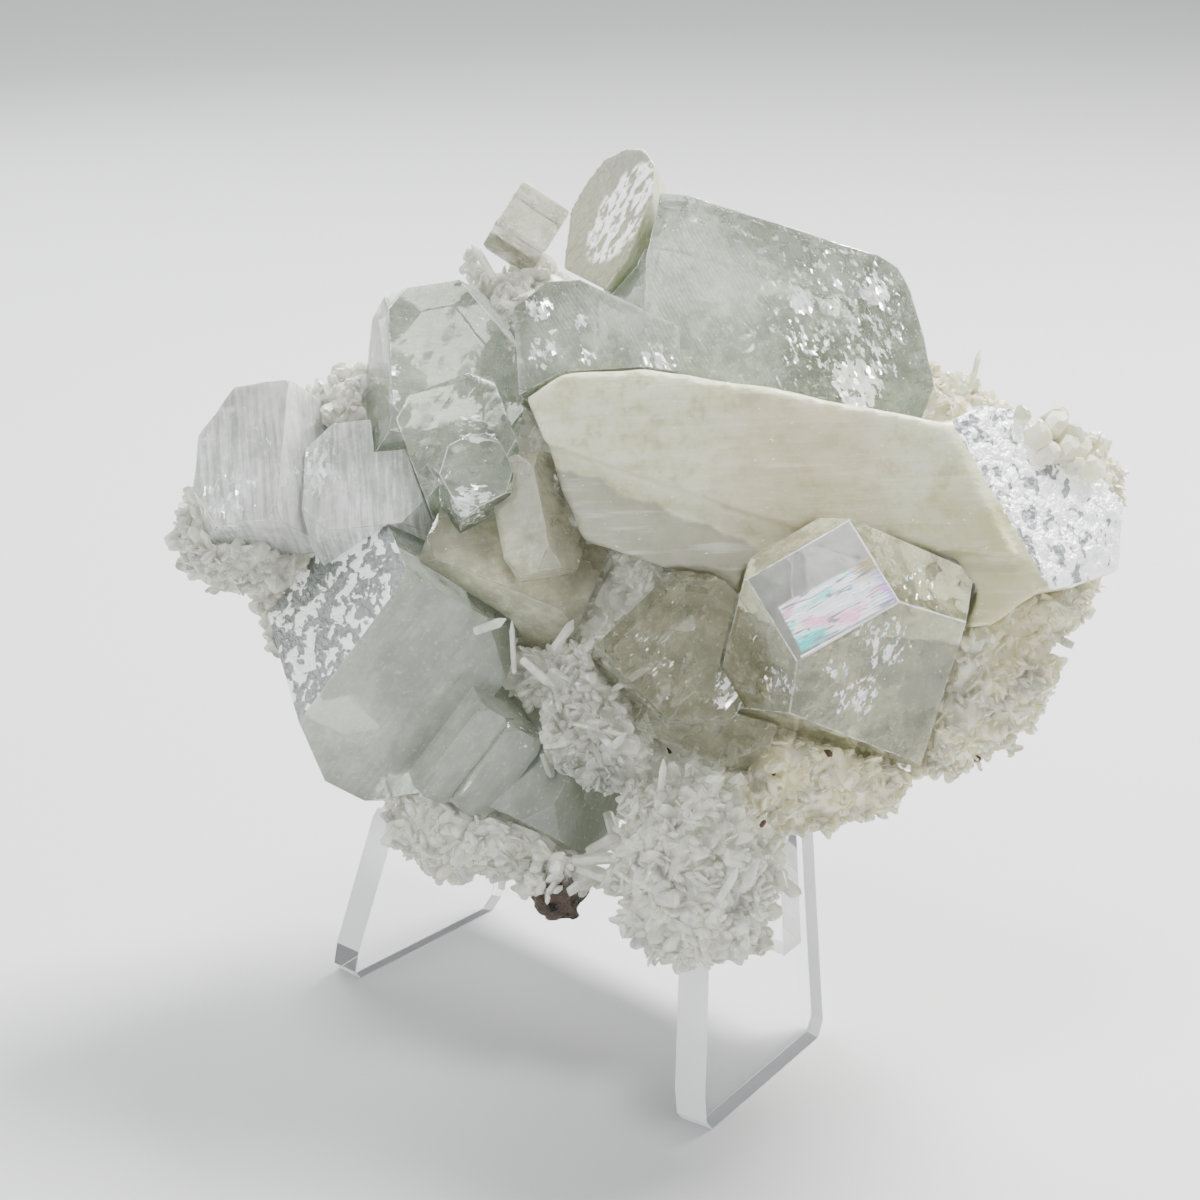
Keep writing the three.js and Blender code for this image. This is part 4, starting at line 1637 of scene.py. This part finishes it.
class CLUSTER_OT_druse(bpy.types.Operator):
    """Adds the quartz crust and its small crystals"""

    bl_idname = "cluster.druse"
    bl_label = "Add Druse"

    def execute(self, context):
        add_druse(context.scene.cluster_druse)
        return {"FINISHED"}


class CLUSTER_OT_basalt(bpy.types.Operator):
    """Adds the basalt"""

    bl_idname = "cluster.basalt"
    bl_label = "Add Basalt"

    def execute(self, context):
        add_basalt(context.scene.cluster_basalt)
        return {"FINISHED"}


class CLUSTER_OT_easel(bpy.types.Operator):
    """Adds the acrylic easel"""

    bl_idname = "cluster.easel"
    bl_label = "Add Easel"

    def execute(self, context):
        add_easel(context.scene.cluster_easel)
        return {"FINISHED"}


class CLUSTER_OT_stage(bpy.types.Operator):
    """Adds the floor, the lights and the camera"""

    bl_idname = "cluster.stage"
    bl_label = "Add Stage"

    def execute(self, context):
        add_stage(context.scene.cluster_stage)
        return {"FINISHED"}


OPERATORS = [
    CLUSTER_OT_crystals,
    CLUSTER_OT_inclusions,
    CLUSTER_OT_stilbite,
    CLUSTER_OT_druse,
    CLUSTER_OT_basalt,
    CLUSTER_OT_easel,
    CLUSTER_OT_stage,
]


class CLUSTER_PT_panel(bpy.types.Panel):
    """Lists the operators that build the specimen"""

    bl_idname = "CLUSTER_PT_panel"
    bl_label = "Apophyllite Cluster"
    bl_space_type = "VIEW_3D"
    bl_region_type = "UI"
    bl_category = "Cluster"

    def draw(self, context):
        for operator in OPERATORS:
            self.layout.operator(operator.bl_idname)


SETTINGS = {
    "cluster_crystals": ClusterCrystals,
    "cluster_stilbite": ClusterStilbite,
    "cluster_druse": ClusterDruse,
    "cluster_basalt": ClusterBasalt,
    "cluster_easel": ClusterEasel,
    "cluster_stage": ClusterStage,
}


def register():
    """Registers the settings, the operators and the panel."""
    for name, group in SETTINGS.items():
        bpy.utils.register_class(group)
        setattr(bpy.types.Scene, name, PointerProperty(type=group))
    for cls in (*OPERATORS, CLUSTER_PT_panel):
        bpy.utils.register_class(cls)


def unregister():
    """Removes what register added."""
    for cls in (CLUSTER_PT_panel, *reversed(OPERATORS)):
        bpy.utils.unregister_class(cls)
    for name, group in SETTINGS.items():
        delattr(bpy.types.Scene, name)
        bpy.utils.unregister_class(group)


def main():
    """Builds the whole scene."""
    register()
    bpy.ops.cluster.crystals()
    bpy.ops.cluster.inclusions()
    bpy.ops.cluster.stilbite()
    bpy.ops.cluster.druse()
    bpy.ops.cluster.basalt()
    bpy.ops.cluster.easel()
    bpy.ops.cluster.stage()


if __name__ == "__main__":
    main()
